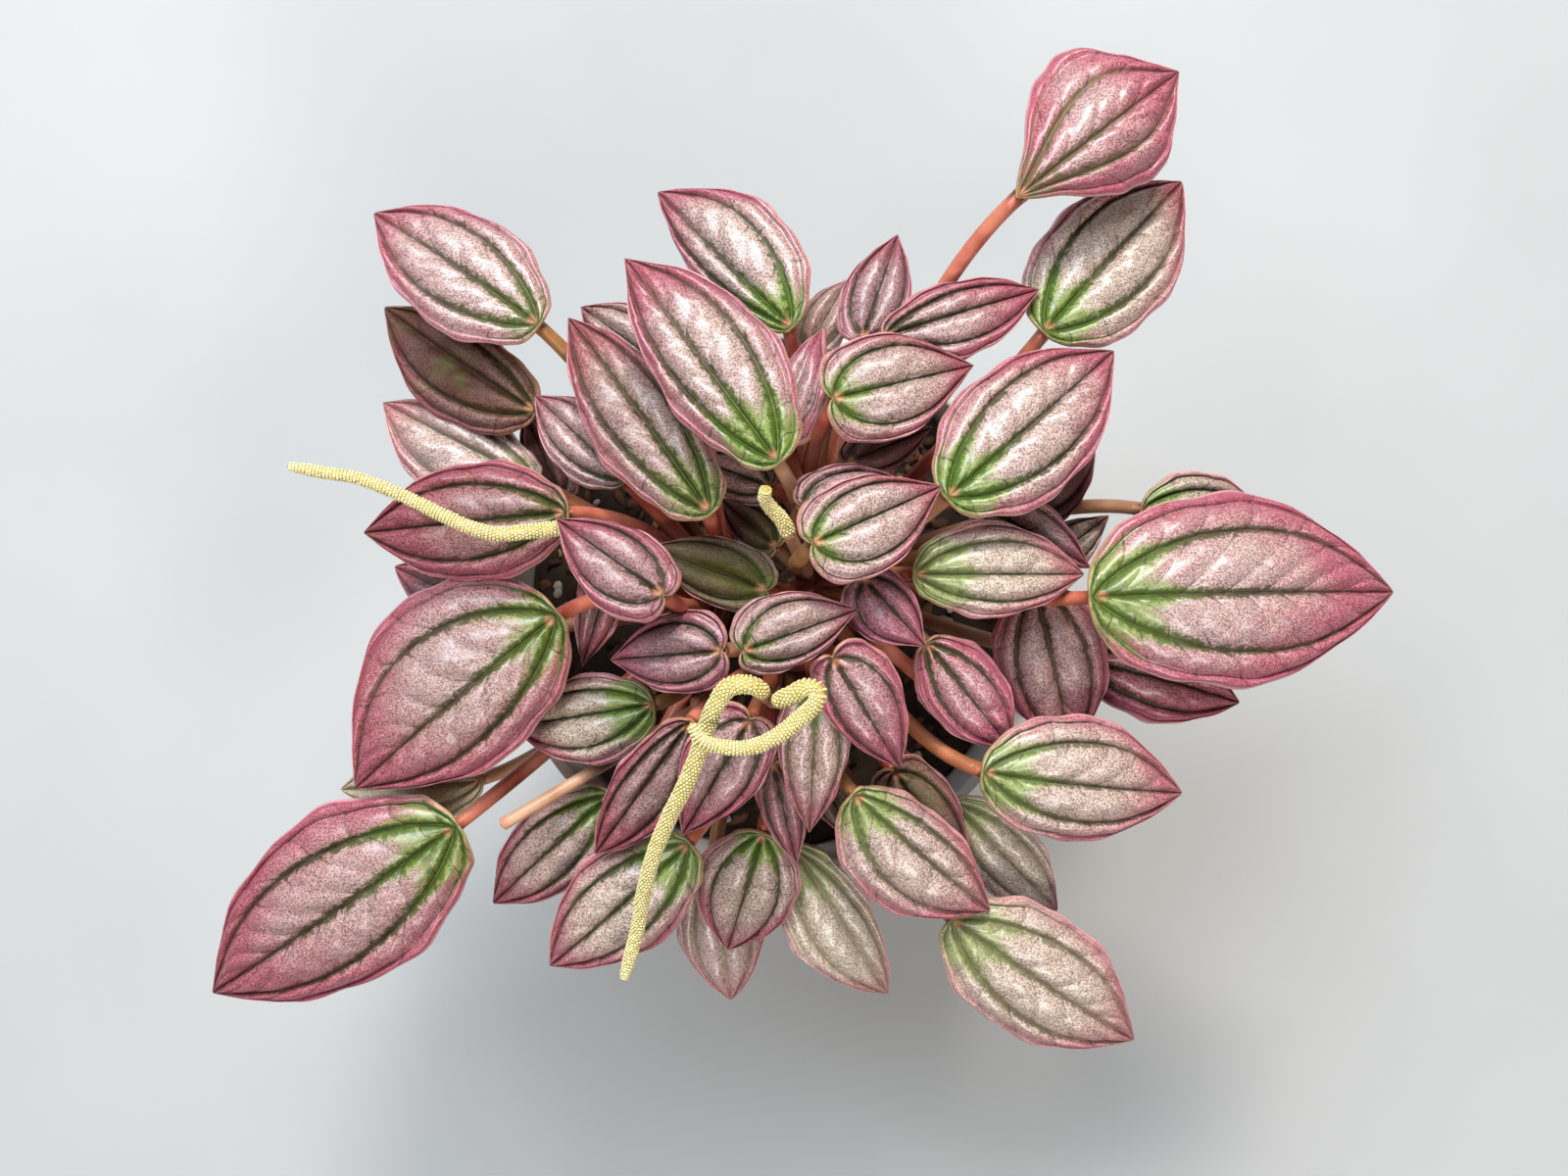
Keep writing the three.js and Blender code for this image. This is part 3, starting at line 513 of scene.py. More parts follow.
# For each blade: crown, petiole joint, tip, width, the share by which its left half is the wider, margin,
# height of the pleats, curl of the margins, roll, swing and steepness of the petiole, then its colouring: how
# rosy, how green at the base and how dark it is, from 0 to 1. The darkness is partly the blade's own colour and
# partly painted shade on blades that lie in the shadow of others; below 0 it pales the blade and softens its
# veins, partly its own paler colour and partly painted sunlight.
BLADES = [
    ("west", (-52, -31, 102), (-77, -33, 96), 14, 0, "old", 0.05, 0.2, 8, 0, None, (0.1, 1.7, -1.0)),
    ("south", (-10.5, -47, 103), (-7.6, -70.9, 94), 15.5, 0, "old", 0.05, 0.2, -6, 0, None, (0.3, 0.3, -0.6)),
    ("south", (32, -35.5, 103), (50.5, -54.8, 95), 13.5, 0, "old", 0.05, 0.2, 0, 0, None, (0.0, 1.0, -0.35)),
    ("west", (-29, -34, 105), (-50, -53.5, 95), 15.5, 0, "old", 0.06, 0.2, -6, 0, None, (0.5, 0.9, 0.2)),
    ("south", (4, -43, 108), (20.3, -69.4, 96), 15.5, -0.25, "old", 0.05, 0.2, 8, 0, None, (0.1, 1.2, -0.5)),
    ("south", (31.5, -54.7, 110), (64, -77.5, 96), 23, 0, "old", 0.04, 0.25, -5, 0, None, (0.3, 1.0, -0.4)),
    ("west", (-55.2, -38.7, 113), (-99.5, -69, 97), 30.5, -0.05, "old", 0.04, 0.25, 4, 0, None, (0.9, 0.9, 0.15)),
    ("east", (54.5, -10, 102), (83.2, -17.8, 94), 15.5, 0, "old", 0.06, 0.2, 10, 0, None, (1.5, 0.1, 0.1)),
    ("east", (63.8, 16, 110), (86, 13.5, 104), 16, 0, "old", 0.04, 0.2, -8, 0, None, (0.1, 1.25, 0.2)),
    ("west", (-41, 21, 112), (-68, 35, 104), 17, 0.28, "old", 0.05, 0.2, 0, 0, None, (0.4, 0.6, -0.6)),
    ("west", (-41, 33, 113), (-67.4, 51.4, 103), 17, 0.2, "old", 0.05, 0.2, 8, 0, None, (0.6, 0.45, 0.95)),
    ("west", (-25, 21, 118), (-40, 35, 114), 12.5, 0, "old", 0.07, 0.2, 0, 0, None, (0.1, 0.3, 0.2)),
    ("west", (-21, -17, 117), (-45, -21, 109), 15.5, 0.12, "old", 0.06, 0.2, 0, 0, None, (0.45, 1.3, 0.2)),
    ("west", (-37, -2.7, 122), (-71.2, -31.5, 112), 31.5, -0.2, "old", 0.04, 0.25, -4, 0, None, (0.8, 0.8, 0.25)),
    ("west", (-35, 15, 123), (-69, 12, 114), 20, 0, "old", 0.05, 0.25, 0, 0, None, (1.1, 0.6, 0.45)),
    ("east", (0, 10, 114), (-9, 18, 111), 8, 0, "young", 0.08, 0.2, 0, 0, None, (0.1, 0.6, 0.9)),
    ("east", (-2, 2.6, 120), (-21.5, 9.8, 116.6), 11.8, -0.05, "young", 0.06, 0.2, 0, 0, None, (0.1, 0.9, 1.0)),
    ("east", (13, 24, 117), (27, 30, 114), 9, 0, "young", 0.08, 0.2, 0, 0, None, (0.6, 0.1, 0.9)),
    ("west", (-11, 16, 130), (-34.4, 48, 118), 17.5, 0.05, "old", 0.05, 0.25, -5, 0, 90, (0.6, 0.8, 0.4)),
    ("east", (2.3, 46.9, 120), (-19.9, 70.7, 109), 17.5, -0.36, "old", 0.05, 0.2, 8, -50, None, (0.45, 0.9, 0.0)),
    ("west", (-39.5, 46.7, 124), (-67.9, 66.3, 113), 20.5, 0, "old", 0.05, 0.2, -6, 0, None, (0.45, 0.6, -0.1)),
    ("east", (15.4, 45.5, 114.5), (21.4, 63.6, 108), 12, 0, "young", 0.07, 0.2, 0, 0, None, (0.6, 0.2, 0.2)),
    ("east", (45.7, 46, 122), (69.6, 71.9, 112), 23.2, 0, "old", 0.04, 0.25, 5, 0, None, (0.3, 1.0, 0.1)),
    ("east", (19, 44, 128), (44, 52, 123), 13, -0.15, "old", 0.06, 0.2, 0, 0, None, (0.9, 0.2, 0.2)),
    ("east", (40, 66, 134), (66.6, 87.3, 126), 25.6, 0.14, "cupped", 0.04, 0.4, 0, 0, None, (1.0, 0.2, -0.8)),
    ("east", (2, 27.5, 125), (8.8, 46.2, 119), 11, 0, "young", 0.08, 0.2, 40, 0, None, (0.8, 0.1, 0.1)),
    ("east", (0, 23.7, 140), (-24, 56, 131), 20, -0.17, "old", 0.05, 0.25, 0, 0, None, (0.6, 1.0, 0.1)),
    ("east", (10.4, 33.2, 134), (32.8, 39, 127), 17.5, 0, "young", 0.06, 0.2, 0, 55, None, (0.5, 0.9, 0.2)),
    ("east", (45, 2, 110), (51.5, -25.5, 106), 20, 0, "old", 0.05, 0.2, 0, 0, None, (0.75, 0.1, 0.45)),
    ("east", (36, 16, 117), (54, 6, 113), 12, 0, "young", 0.06, 0.2, 0, 0, None, (0.4, 0.2, 0.1)),
    ("east", (27, -14, 110), (38, -23, 107), 8, 0, "young", 0.06, 0.2, 0, 0, None, (0.15, 0.1, -0.6)),
    ("east", (25.8, -7, 122), (40.2, -24.4, 115), 14, 0, "old", 0.07, 0.2, 0, 0, None, (1.15, 0.3, 0.0)),
    ("east", (24, 5, 127), (52, 5, 119), 16, 0.1, "old", 0.05, 0.2, 0, 0, None, (0.45, 1.3, -0.3)),
    ("east", (54.1, 1.3, 124), (107, 2, 107), 33, 0.05, "old", 0.04, 0.25, 4, 0, 65, (0.85, 1.0, -0.15)),
    ("east", (29, 18, 133), (56.5, 42, 122), 23, 0, "old", 0.05, 0.25, 0, 0, None, (0.55, 1.0, 0.0)),
    ("south", (20.8, -29, 114), (33.8, -48, 108), 13, 0, "young", 0.06, 0.2, 0, 0, None, (0.5, 0.2, 0.9)),
    ("east", (36, -28, 121), (70, -32.3, 110), 21.8, 0.05, "old", 0.05, 0.25, -5, 0, None, (0.5, 1.1, -0.2)),
    ("south", (-2, -39.3, 116), (-8, -60, 105), 18, 0, "old", 0.05, 0.2, 0, 0, None, (0.45, 1.0, 0.25)),
    ("south", (-15, -41, 116), (-39, -63, 104), 19, 0, "old", 0.05, 0.2, 5, 0, None, (0.5, 1.2, -0.1)),
    ("south", (14, -32, 121), (37, -52.3, 109), 18.5, -0.26, "old", 0.05, 0.2, -5, 0, None, (0.5, 1.0, -0.25)),
    ("south", (0, -27, 120), (4, -44, 115), 8, 0, "young", 0.08, 0.2, 0, 0, None, (0.9, 0.2, 0.3)),
    ("south", (-14, -20, 126), (-30, -42, 117), 12.5, 0.15, "old", 0.06, 0.2, 0, 0, None, (0.9, 0.1, 0.5)),
    ("south", (-9, -7.6, 128), (-27, -9.2, 122), 14, -0.05, "young", 0.08, 0.2, 0, 0, None, (0.8, 0.2, 0.25)),
    ("south", (7, -15, 130), (6, -38, 121), 12, 0, "young", 0.07, 0.2, 0, 0, None, (0.35, 0.7, -0.2)),
    ("south", (-4, -19, 133), (-15, -38, 124), 14, 0, "young", 0.07, 0.2, 0, 0, None, (0.85, 0.2, 0.1)),
    ("east", (15, 4, 130), (25, -7, 129), 11.5, -0.2, "young", 0.08, 0.2, 0, 0, None, (1.3, 0.1, 0.25)),
    ("south", (10, -9, 134), (21, -27, 125), 13.5, 0.12, "young", 0.07, 0.2, 0, 0, None, (1.05, 0.2, 0.1)),
    ("east", (5.3, 16, 131), (22, 20.2, 125), 11, 0, "young", 0.08, 0.2, 0, 75, None, (0.3, 0.4, 0.2)),
    ("south", (-4, -7.1, 137), (14, -0.6, 134), 12.5, 0.15, "young", 0.08, 0.2, 0, 90, None, (0.3, 0.7, 0.3)),
    ("west", (-18, 2, 137), (-35, 14, 133), 14, 0.08, "young", 0.08, 0.2, 0, -12, None, (0.85, 0.2, 0.3)),
    ("east", (7, 10, 138), (27, 19, 131), 16, -0.1, "young", 0.07, 0.2, 0, 40, None, (0.35, 0.8, 0.15)),
]
# Small blades that stand low between the large ones, in the same columns.
LOW_BLADES = [
    ("west", (-18, 40, 108), (-33.5, 51.5, 105), 13, 0, "old", 0.06, 0.2, 0, 0, None, (0.0, 0.7, 0.2)),
    ("west", (-37, 19, 106), (-43.5, 33.5, 103), 9, 0, "young", 0.08, 0.2, 0, 0, None, (0.6, 0.1, 0.8)),
    ("west", (-48, -2, 106), (-66.5, 6.5, 101), 12, 0, "old", 0.06, 0.2, 0, 0, None, (0.9, 0.2, -0.3)),
    ("east", (6, 44, 108), (13, 56.5, 104), 9, 0, "young", 0.08, 0.2, 0, 0, None, (0.1, 0.6, -0.3)),
    ("east", (41, 15, 108), (56, 26.5, 104), 12, 0, "old", 0.06, 0.2, 0, 0, None, (0.8, 0.1, 0.8)),
    ("east", (46, 6, 104), (59, 15.5, 100), 9, 0, "young", 0.07, 0.2, 0, 0, None, (0.1, 1.25, 0.2)),
    ("west", (-27, 8, 113), (-33, -11, 107), 9, 0, "young", 0.08, 0.2, 0, 0, None, (1.0, 0.1, 0.3)),
    ("south", (7, -28, 108), (14, -41, 104), 8, 0, "young", 0.08, 0.2, 0, 0, None, (0.3, 0.9, 0.5)),
    ("east", (-1, 20, 116), (-14, 25, 112), 9, 0, "young", 0.08, 0.2, 0, 0, None, (0.1, 0.5, 0.3)),
]
UP = np.array([0, 0, 1.0])


def unit(vector):
    return vector / np.linalg.norm(vector)


def turned(vector, axis, degrees):
    """The vector turned about a unit axis."""
    a = math.radians(degrees)
    return (
        vector * math.cos(a)
        + np.cross(axis, vector) * math.sin(a)
        + axis * (vector @ axis) * (1 - math.cos(a))
    )


def flat_blade(margin, t, v):
    """A blade laid flat, of length 1: for each v a quintic Bernstein curve over t from the petiole to the
    tip. Its inner control points fan out, from k/5 along the midrib to the margin's distance and angle."""
    reach = np.abs(v)
    weight = [math.comb(5, k) * t**k * (1 - t) ** (5 - k) for k in range(6)]
    along = weight[5] - PELTATE * reach * weight[0]
    across = np.zeros_like(along)
    for k, (distance, degrees) in enumerate(MARGINS[margin], 1):
        radius = (1 - reach) * (k / 5) + reach * distance
        angle = np.radians(degrees) * v
        along = along + weight[k] * radius * np.cos(angle)
        across = across + weight[k] * radius * np.sin(angle)
    return along, across


def half_width(margin):
    return flat_blade(margin, np.arange(0, 1.0001, 0.02), np.array(1.0))[1].max()


def pleat(v, veins, fullness=1.0):
    """Rounded cushions between the veins: a sine over each band, lower for a narrower band. A fullness
    under 1 steepens their flanks and flattens their tops."""
    reach = np.abs(v)
    k = np.clip(np.searchsorted(veins, reach), 1, len(veins) - 1)
    low, high = np.take(veins, k - 1), np.take(veins, k)
    rise = np.clip(np.sin(np.pi * (reach - low) / (high - low)), 0, 1)
    return np.sqrt((high - low) / veins[1]) * rise**fullness


class Blade:
    """One blade's own frame: its axis to the tip, its upper side's normal and its left side."""

    def __init__(self, number, row, lifted=True):
        crown, base, tip, width, skew, form, pleats, curl, roll, swing, steep, colouring = row
        self.number, self.crown, self.width, self.skew, self.form = number, crown, width, skew, form
        self.pleats, self.curl, self.swing, self.steep, self.colouring = pleats, curl, swing, steep, colouring
        self.start = np.array(base, float)
        to_tip = np.array(tip, float) - self.start
        self.length = np.linalg.norm(to_tip)
        self.axis = to_tip / self.length
        self.normal = turned(unit(UP - (UP @ self.axis) * self.axis), self.axis, -roll)
        self.side = np.cross(self.normal, self.axis)
        self.scale = width / 2 / half_width(form)
        if lifted:
            self.start[2] += self.lift()

    def laid(self, t, v):
        """Millimetres along and across the blade laid flat."""
        along, across = flat_blade(self.form, t, v)
        return along * self.length, across * self.scale * (1 + self.skew * np.sign(v))

    def form_points(self, t, v, veins, fullness=1.0):
        """The middle surface: the flat blade, arched along its length, its margins curled down with the
        square of the way out, and pleated. Also the way along and out, and the height of the pleats."""
        along, across = flat_blade(self.form, t, v)
        fade = np.power(np.clip(4 * t * (1 - t), 0, 1), 0.6)
        out = across * self.scale / (self.width / 2)
        swell = fade * pleat(v, veins, fullness)
        rise = self.length * ARCH * 4 * np.abs(along) * (1 - along)
        rise = rise + (self.width / 2) * (self.pleats * swell - self.curl * out * out)
        along, across = self.laid(t, v)
        points = (
            self.start
            + self.axis * along[..., None]
            + self.side * across[..., None]
            + self.normal * rise[..., None]
        )
        return points, along, across, swell

    def lift(self):
        """How far the solid blade was raised to lie over those under it: its packed box's foot against
        the foot of the same grid at its table place."""
        _, rows, half, veins = next(grid for grid in SOLID_GRIDS if self.width > grid[0])
        lines = np.array([-v for v in half[::-1]] + [0] + half)
        t, v = np.meshgrid(rows, lines, indexing="ij")
        foot = self.form_points(t, v, veins)[0][..., 2].min() - THICKNESS / 2 * self.normal[2]
        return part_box(f"leaf_{self.number:02d}")[0].z / MM - foot


blades = [Blade(k, row) for k, row in enumerate(BLADES, 1)]
low_blades = [Blade(k, row, lifted=False) for k, row in enumerate(LOW_BLADES, len(BLADES) + 1)]


def nearest(points, line):
    """The distance from each flat point to the nearest of a line's segments."""
    start, run = line[:-1], np.diff(line, axis=0)
    away = points[:, None] - start
    share = np.clip((away * run).sum(-1) / (run * run).sum(-1), 0, 1)
    gap = away - share[..., None] * run
    return np.sqrt((gap * gap).sum(-1).min(1))


def branching(blade, t, v, phase):
    """The small veins, which leave the midrib and the side veins at a slant towards the tip: an angle that
    grows by half a turn from one small vein to the next, over t less 0.42 of the way out from the large
    vein, bent by two slow sines."""
    reach = np.abs(v)
    out = np.where(reach < SIDE_VEINS[0], reach, reach - SIDE_VEINS[0])
    count = np.clip(blade.length / 6.0, 3, 8)
    bend = 0.5 * np.sin(5 * t + 4 * v + phase) + 0.3 * np.sin(13 * t - 7 * v + 2 * phase)
    return np.pi * (count * (t - 0.42 * out) + 0.5 * (v < 0)) + bend


def across_lines(blade):
    """The grid's lines from margin to margin, even between the veins and close together at the margins."""
    fine = blade.width / 2 / 0.4
    spans = [(0, SIDE_VEINS[0]), SIDE_VEINS, (SIDE_VEINS[1], 0.955)]
    half = [np.linspace(a, b, max(3, round((b - a) * fine)), endpoint=False) for a, b in spans]
    half = np.concatenate([*half, [0.955, 0.972, 0.985, 0.994, 1]])
    return np.concatenate([-half[:0:-1], half])


def blade_piece(blade):
    """The upper and the lower face on one grid of t and v, which part by the thickness and meet at the
    margin in a round edge. The veins are sunk in the upper face and stand out of the lower one, and the
    flesh swells between them and again, less, between the small veins."""
    rows = int(np.clip(blade.length / 0.55, 36, 96))
    t, v = np.meshgrid(np.linspace(0, 1, rows), across_lines(blade), indexing="ij")
    middle, along, across, swell = blade.form_points(t, v, [0, *SIDE_VEINS, 1], 0.58)
    reach, size = np.abs(v), np.clip(blade.length / 45, 0.3, 1.15)
    flat = np.stack([along, across], -1).reshape(-1, 2)
    course = np.linspace(0, 1, 49)
    gaps = []
    for share in (0, *SIDE_VEINS, 1):
        lines = [np.stack(blade.laid(course, side * share), -1) for side in ((1, -1) if share else (1,))]
        gaps.append(np.min([nearest(flat, line) for line in lines], 0).reshape(t.shape))
    mid, first, second, edge = gaps
    phase = 2.4 * blade.number
    fade = np.power(np.clip(4 * t * (1 - t), 0, 1), 0.6)
    wave = branching(blade, t, v, phase)
    puff = np.power(np.abs(np.sin(wave)), 0.55)
    deep = np.exp(-((mid / 0.55) ** 2)) + 0.8 * np.exp(-((first / 0.5) ** 2))
    deep = (deep + 0.4 * np.exp(-((second / 0.4) ** 2))).clip(0, 1) * np.clip(edge / 1.2, 0, 1)
    quilting = 0.85 * size * (puff - 0.7) * np.clip(swell * 1.3, 0, 1) * (0.45 + 0.55 * t)
    lumps = 0.16 * np.sin(0.8 * along + phase) * np.sin(1.0 * across + 2 * phase)
    lumps = (lumps + 0.07 * np.sin(2.3 * along - across) * np.sin(2.1 * across + phase)) * fade
    waves = 0.45 * size * np.sin(2 * np.pi * 2.3 * t + phase + 2 * (v > 0)) * reach**3 * fade
    rim = np.sqrt(np.clip(1 - (np.clip(reach - 0.955, 0, 1) / 0.045) ** 2, 0, 1))
    rim = rim * np.sqrt(np.clip(1 - (np.clip(t - 0.98, 0, 1) / 0.02) ** 2, 0, 1))
    bead = 0.08 * np.exp(-(((edge - 0.55) / 0.3) ** 2))
    cushion = FULLNESS * (0.75 + 0.25 * size) * (swell - 0.45 * fade) - 0.45 * deep
    up = 0.36 + quilting + lumps + cushion + bead
    down = -0.36 + 0.3 * quilting + lumps + 0.7 * cushion
    wander = np.sin(2 * np.pi * 3.3 * t + 1.7 * phase) + 0.5 * np.sin(2 * np.pi * 7.1 * t + phase)
    wander = 0.4 * size * wander * np.sign(v) * reach**4 * fade
    middle = middle + blade.side * wander[..., None]
    top = middle + blade.normal * (waves + up * rim)[..., None]
    under = middle + blade.normal * (waves + down * rim)[..., None]
    count, last = t.size, t.shape[1] - 1
    centre = last // 2
    upper = np.arange(count).reshape(t.shape)
    upper[0, centre + 1 :] = upper[0, centre - 1 :: -1]
    upper[-1, :] = upper[-1, centre]
    lower = upper + count
    lower[:, [0, last]] = upper[:, [0, last]]
    lower[-1, :] = upper[-1, centre]
    faces = []
    for index, turn in ((upper, slice(None)), (lower, slice(None, None, -1))):
        tip = np.stack([index[-2, :-1], index[-1, :-1], index[-2, 1:]], -1)
        faces += [grid_faces(index[:-1])[:, turn], tip[:, turn]]
    wide = max(size, 0.45) * (0.3 + 1.2 * (1 - t) ** 1.3)
    outer = np.clip(1 - 2.2 * t, 0.03, 1)
    haze = 1 - np.min([mid, first, second / (0.5 * outer)], 0) / wide
    fine = max(size, 0.55) * (0.18 + 0.28 * (1 - t))
    core = 1 - np.min([mid, first / 0.9, second / (0.14 + 0.6 * outer)], 0) / fine
    values = {
        "veins": np.stack([haze.clip(-2, 1), core.clip(-3, 1), wave], -1),
        "place": np.stack([t, edge, np.hypot(along, across)], -1),
        "flesh": np.stack([swell, 1 - edge / (blade.width / 2), np.full_like(t, size)], -1),
        "tone": np.broadcast_to(blade.colouring, (*t.shape, 3)),
    }
    values = {name: np.tile(value.reshape(-1, 3), (2, 1)) for name, value in values.items()}
    values["under"] = np.repeat([0.0, 1.0], count)
    return np.concatenate([top.reshape(-1, 3), under.reshape(-1, 3)]), faces, values


def kept_points(points, faces, attributes):
    """The mesh without the points that no face uses."""
    used = np.unique(np.concatenate([f.ravel() for f in faces]))
    fresh = np.full(len(points), -1)
    fresh[used] = np.arange(len(used))
    return points[used], [fresh[f] for f in faces], {k: np.asarray(a)[used] for k, a in attributes.items()}


leaf = Finish("rose leaf skin", Specular_IOR_Level=0.25, Coat_Roughness=0.34, Coat_IOR=1.65)
haze, core, wave = leaf.parts(leaf.attribute("veins", "Vector"))
t, edge, along = leaf.parts(leaf.attribute("place", "Vector"))
swell, outward, size = leaf.parts(leaf.attribute("flesh", "Vector"))
rosy, green, dark = leaf.parts(leaf.attribute("tone", "Vector"))
under = leaf.attribute("under")
cells = leaf.noise(0.3, detail=2, roughness=0.6)
blotch = leaf.noise(1.8, detail=4, roughness=0.65)
cloud = leaf.noise(9, detail=2)
ragged = blotch - 0.5

wrinkles = leaf.noise(0.9, detail=3, roughness=0.7)
speckle = cells.band(0.36, 0.64)
silver = leaf.mix(speckle, tint(0.50, 0.38, 0.37), tint(0.81, 0.69, 0.66))
meadow = leaf.mix(speckle, tint(0.47, 0.44, 0.35), tint(0.85, 0.80, 0.69))
silver = leaf.mix((green - rosy).band(0.1, 1.1) * 0.6, silver, meadow)
rose = leaf.mix(speckle, tint(0.47, 0.20, 0.25), tint(0.76, 0.43, 0.48))
blush = outward.at_least(0) ** 2.5 * 0.8 + t.band(0.35, 1.05) * 0.7 + rosy * 0.8 - 0.55
flesh = leaf.mix((blush + ragged * 0.8 + (cloud - 0.5) * 0.8).band(0, 1), silver, rose)
mauve = leaf.mix(speckle, tint(0.45, 0.25, 0.30), tint(0.70, 0.48, 0.53))
flesh = leaf.mix(size.band(0.62, 0.3) * (0.8 - 0.5 * green), flesh, mauve)
rim = edge.band(2.4, 0.4) * (0.12 + 0.4 * rosy)
flesh = leaf.mix(rim, flesh, tint(0.62, 0.25, 0.33))

near_joint = (along / size).band(20, 3)
wash = near_joint * green * 1.5 - 0.5 + ragged * 0.9 + haze.at_least(-1.2) * 0.35
wash = (wash + 3 * (green - 1.2).at_least(0)).band(0.0, 0.9)
flesh = leaf.mix(wash * 0.85, flesh, leaf.mix(cells, tint(0.36, 0.48, 0.13), tint(0.55, 0.62, 0.28)))
olive = leaf.mix((near_joint * 1.6 + 0.25).at_most(1) * green, tint(0.22, 0.19, 0.12), tint(0.27, 0.38, 0.09))
olive = leaf.mix(dark.at_most(0) * -0.8, olive, tint(0.50, 0.44, 0.31))
feather = ragged * 2.2 + (wrinkles - 0.5) * 1.6
halo = (haze + feather).band(0.0, 0.45) * (0.9 - 0.5 * t.band(0.45, 0.9))
skin = leaf.mix(halo, flesh, olive)
branch = wave.sine()
branch = abs(branch).band(0.17, 0.02) * swell.band(1.1, 0.4) * (haze + 2.8 + ragged * 3.0).band(0, 1.8)
skin = leaf.mix(branch * 0.8, skin, tint(0.24, 0.17, 0.13))
# Partly the blade's own paler colour, partly painted sunlight: blades with darkness below 0 and little rose turn
# pale cream.
paler_and_sunlit = dark.at_most(0) * (rosy * 0.5 - 0.5)
skin = leaf.mix(paler_and_sunlit, skin, leaf.mix(speckle, tint(0.74, 0.64, 0.54), tint(0.93, 0.86, 0.78)))
# Partly the blade's own dark brown and olive colour, partly painted shade on blades that lie in the shadow of
# those over them: blades with darkness above 0 turn dark, less towards the margin.
skin = leaf.mix(dark.at_least(0) * (1.05 - 0.4 * outward.at_least(0)), skin, leaf.mix((cloud + 0.25 * (green - rosy)).band(0.4, 0.6), tint(0.29, 0.14, 0.07), tint(0.31, 0.27, 0.08)))
line = leaf.mix(near_joint * green, tint(0.14, 0.11, 0.08), tint(0.13, 0.21, 0.05))
strength = (0.95 - 0.35 * size) * (0.75 + 0.5 * blotch) * (1 - 0.45 * size * t.band(0.4, 0.9))
strength = strength + 0.8 * dark.at_most(0.5)
skin = leaf.mix((core + ragged * 1.2).band(0.05, 0.5) * strength, skin, line)
# Painted highlight: a thin pale line, broken into dashes, along the middle of the veins where their crease catches
# the light.
painted_vein_glint = core.band(0.62, 0.9) * (blotch * 1.3 - 0.15) * size.band(0.3, 0.7) * (1 - dark.at_least(0)).at_least(0)
skin = leaf.mix(painted_vein_glint, skin, leaf.mix(near_joint * green, tint(0.66, 0.48, 0.42), tint(0.55, 0.58, 0.30)))
# A thin pale line along the margin, partly the margin's own colour and partly a painted highlight where light
# catches the rounded edge; cream near the joint.
pale_lip_and_edge_glint = leaf.mix(near_joint, tint(0.88, 0.62, 0.62), tint(0.70, 0.55, 0.40))
skin = leaf.mix((edge + ragged * 0.3).band(0.3, 0.1) * 0.65, skin, pale_lip_and_edge_glint)
joint = (along + ragged * 1.2).band(1.3, 0.2)
skin = leaf.mix(joint * 0.75, skin, tint(0.72, 0.50, 0.36))

back = leaf.mix(blotch, tint(0.50, 0.34, 0.24), tint(0.64, 0.42, 0.32))
back = leaf.mix(outward.at_least(0) ** 2 * 0.8, back, tint(0.62, 0.28, 0.30))
back = leaf.mix((core * 0.5 + 0.5).band(0, 0.8) * 0.7, back, tint(0.68, 0.56, 0.34))
back = leaf.mix(edge.band(0.6, 0.15) * 0.6, back, tint(0.86, 0.58, 0.42))
leaf.feed("Base Color", leaf.mix(under, skin, back))
leaf.feed("Roughness", 0.36 + 0.14 * cells + under * 0.15 + dark.at_least(0) * 0.15)
gloss = (0.4 + 0.6 * blotch.band(0.25, 0.65)) * (haze + ragged).band(0.9, 0.2)
leaf.feed("Coat Weight", gloss * (1 - dark.at_least(0)).at_least(0))
leaf.bump(cells * 0.2 + wrinkles * 0.4 + blotch * 0.4, 0.42)

for blade in blades + low_blades:
    points, faces, attributes = kept_points(*blade_piece(blade))
    piece = add_piece(f"blade_{blade.number:02d}", points, faces, leaf.material, attributes)
    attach(piece, "root")
    if blade in blades:
        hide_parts(f"leaf_{blade.number:02d}")


# ---- Stems and petioles ----
# Three short crowns stand in the mix. From each a bundle of round, fleshy, rust-red leaf stalks climbs and
# bends over to its blades, and thinner tan stalks carry the flower spikes. All of it grew in one piece.

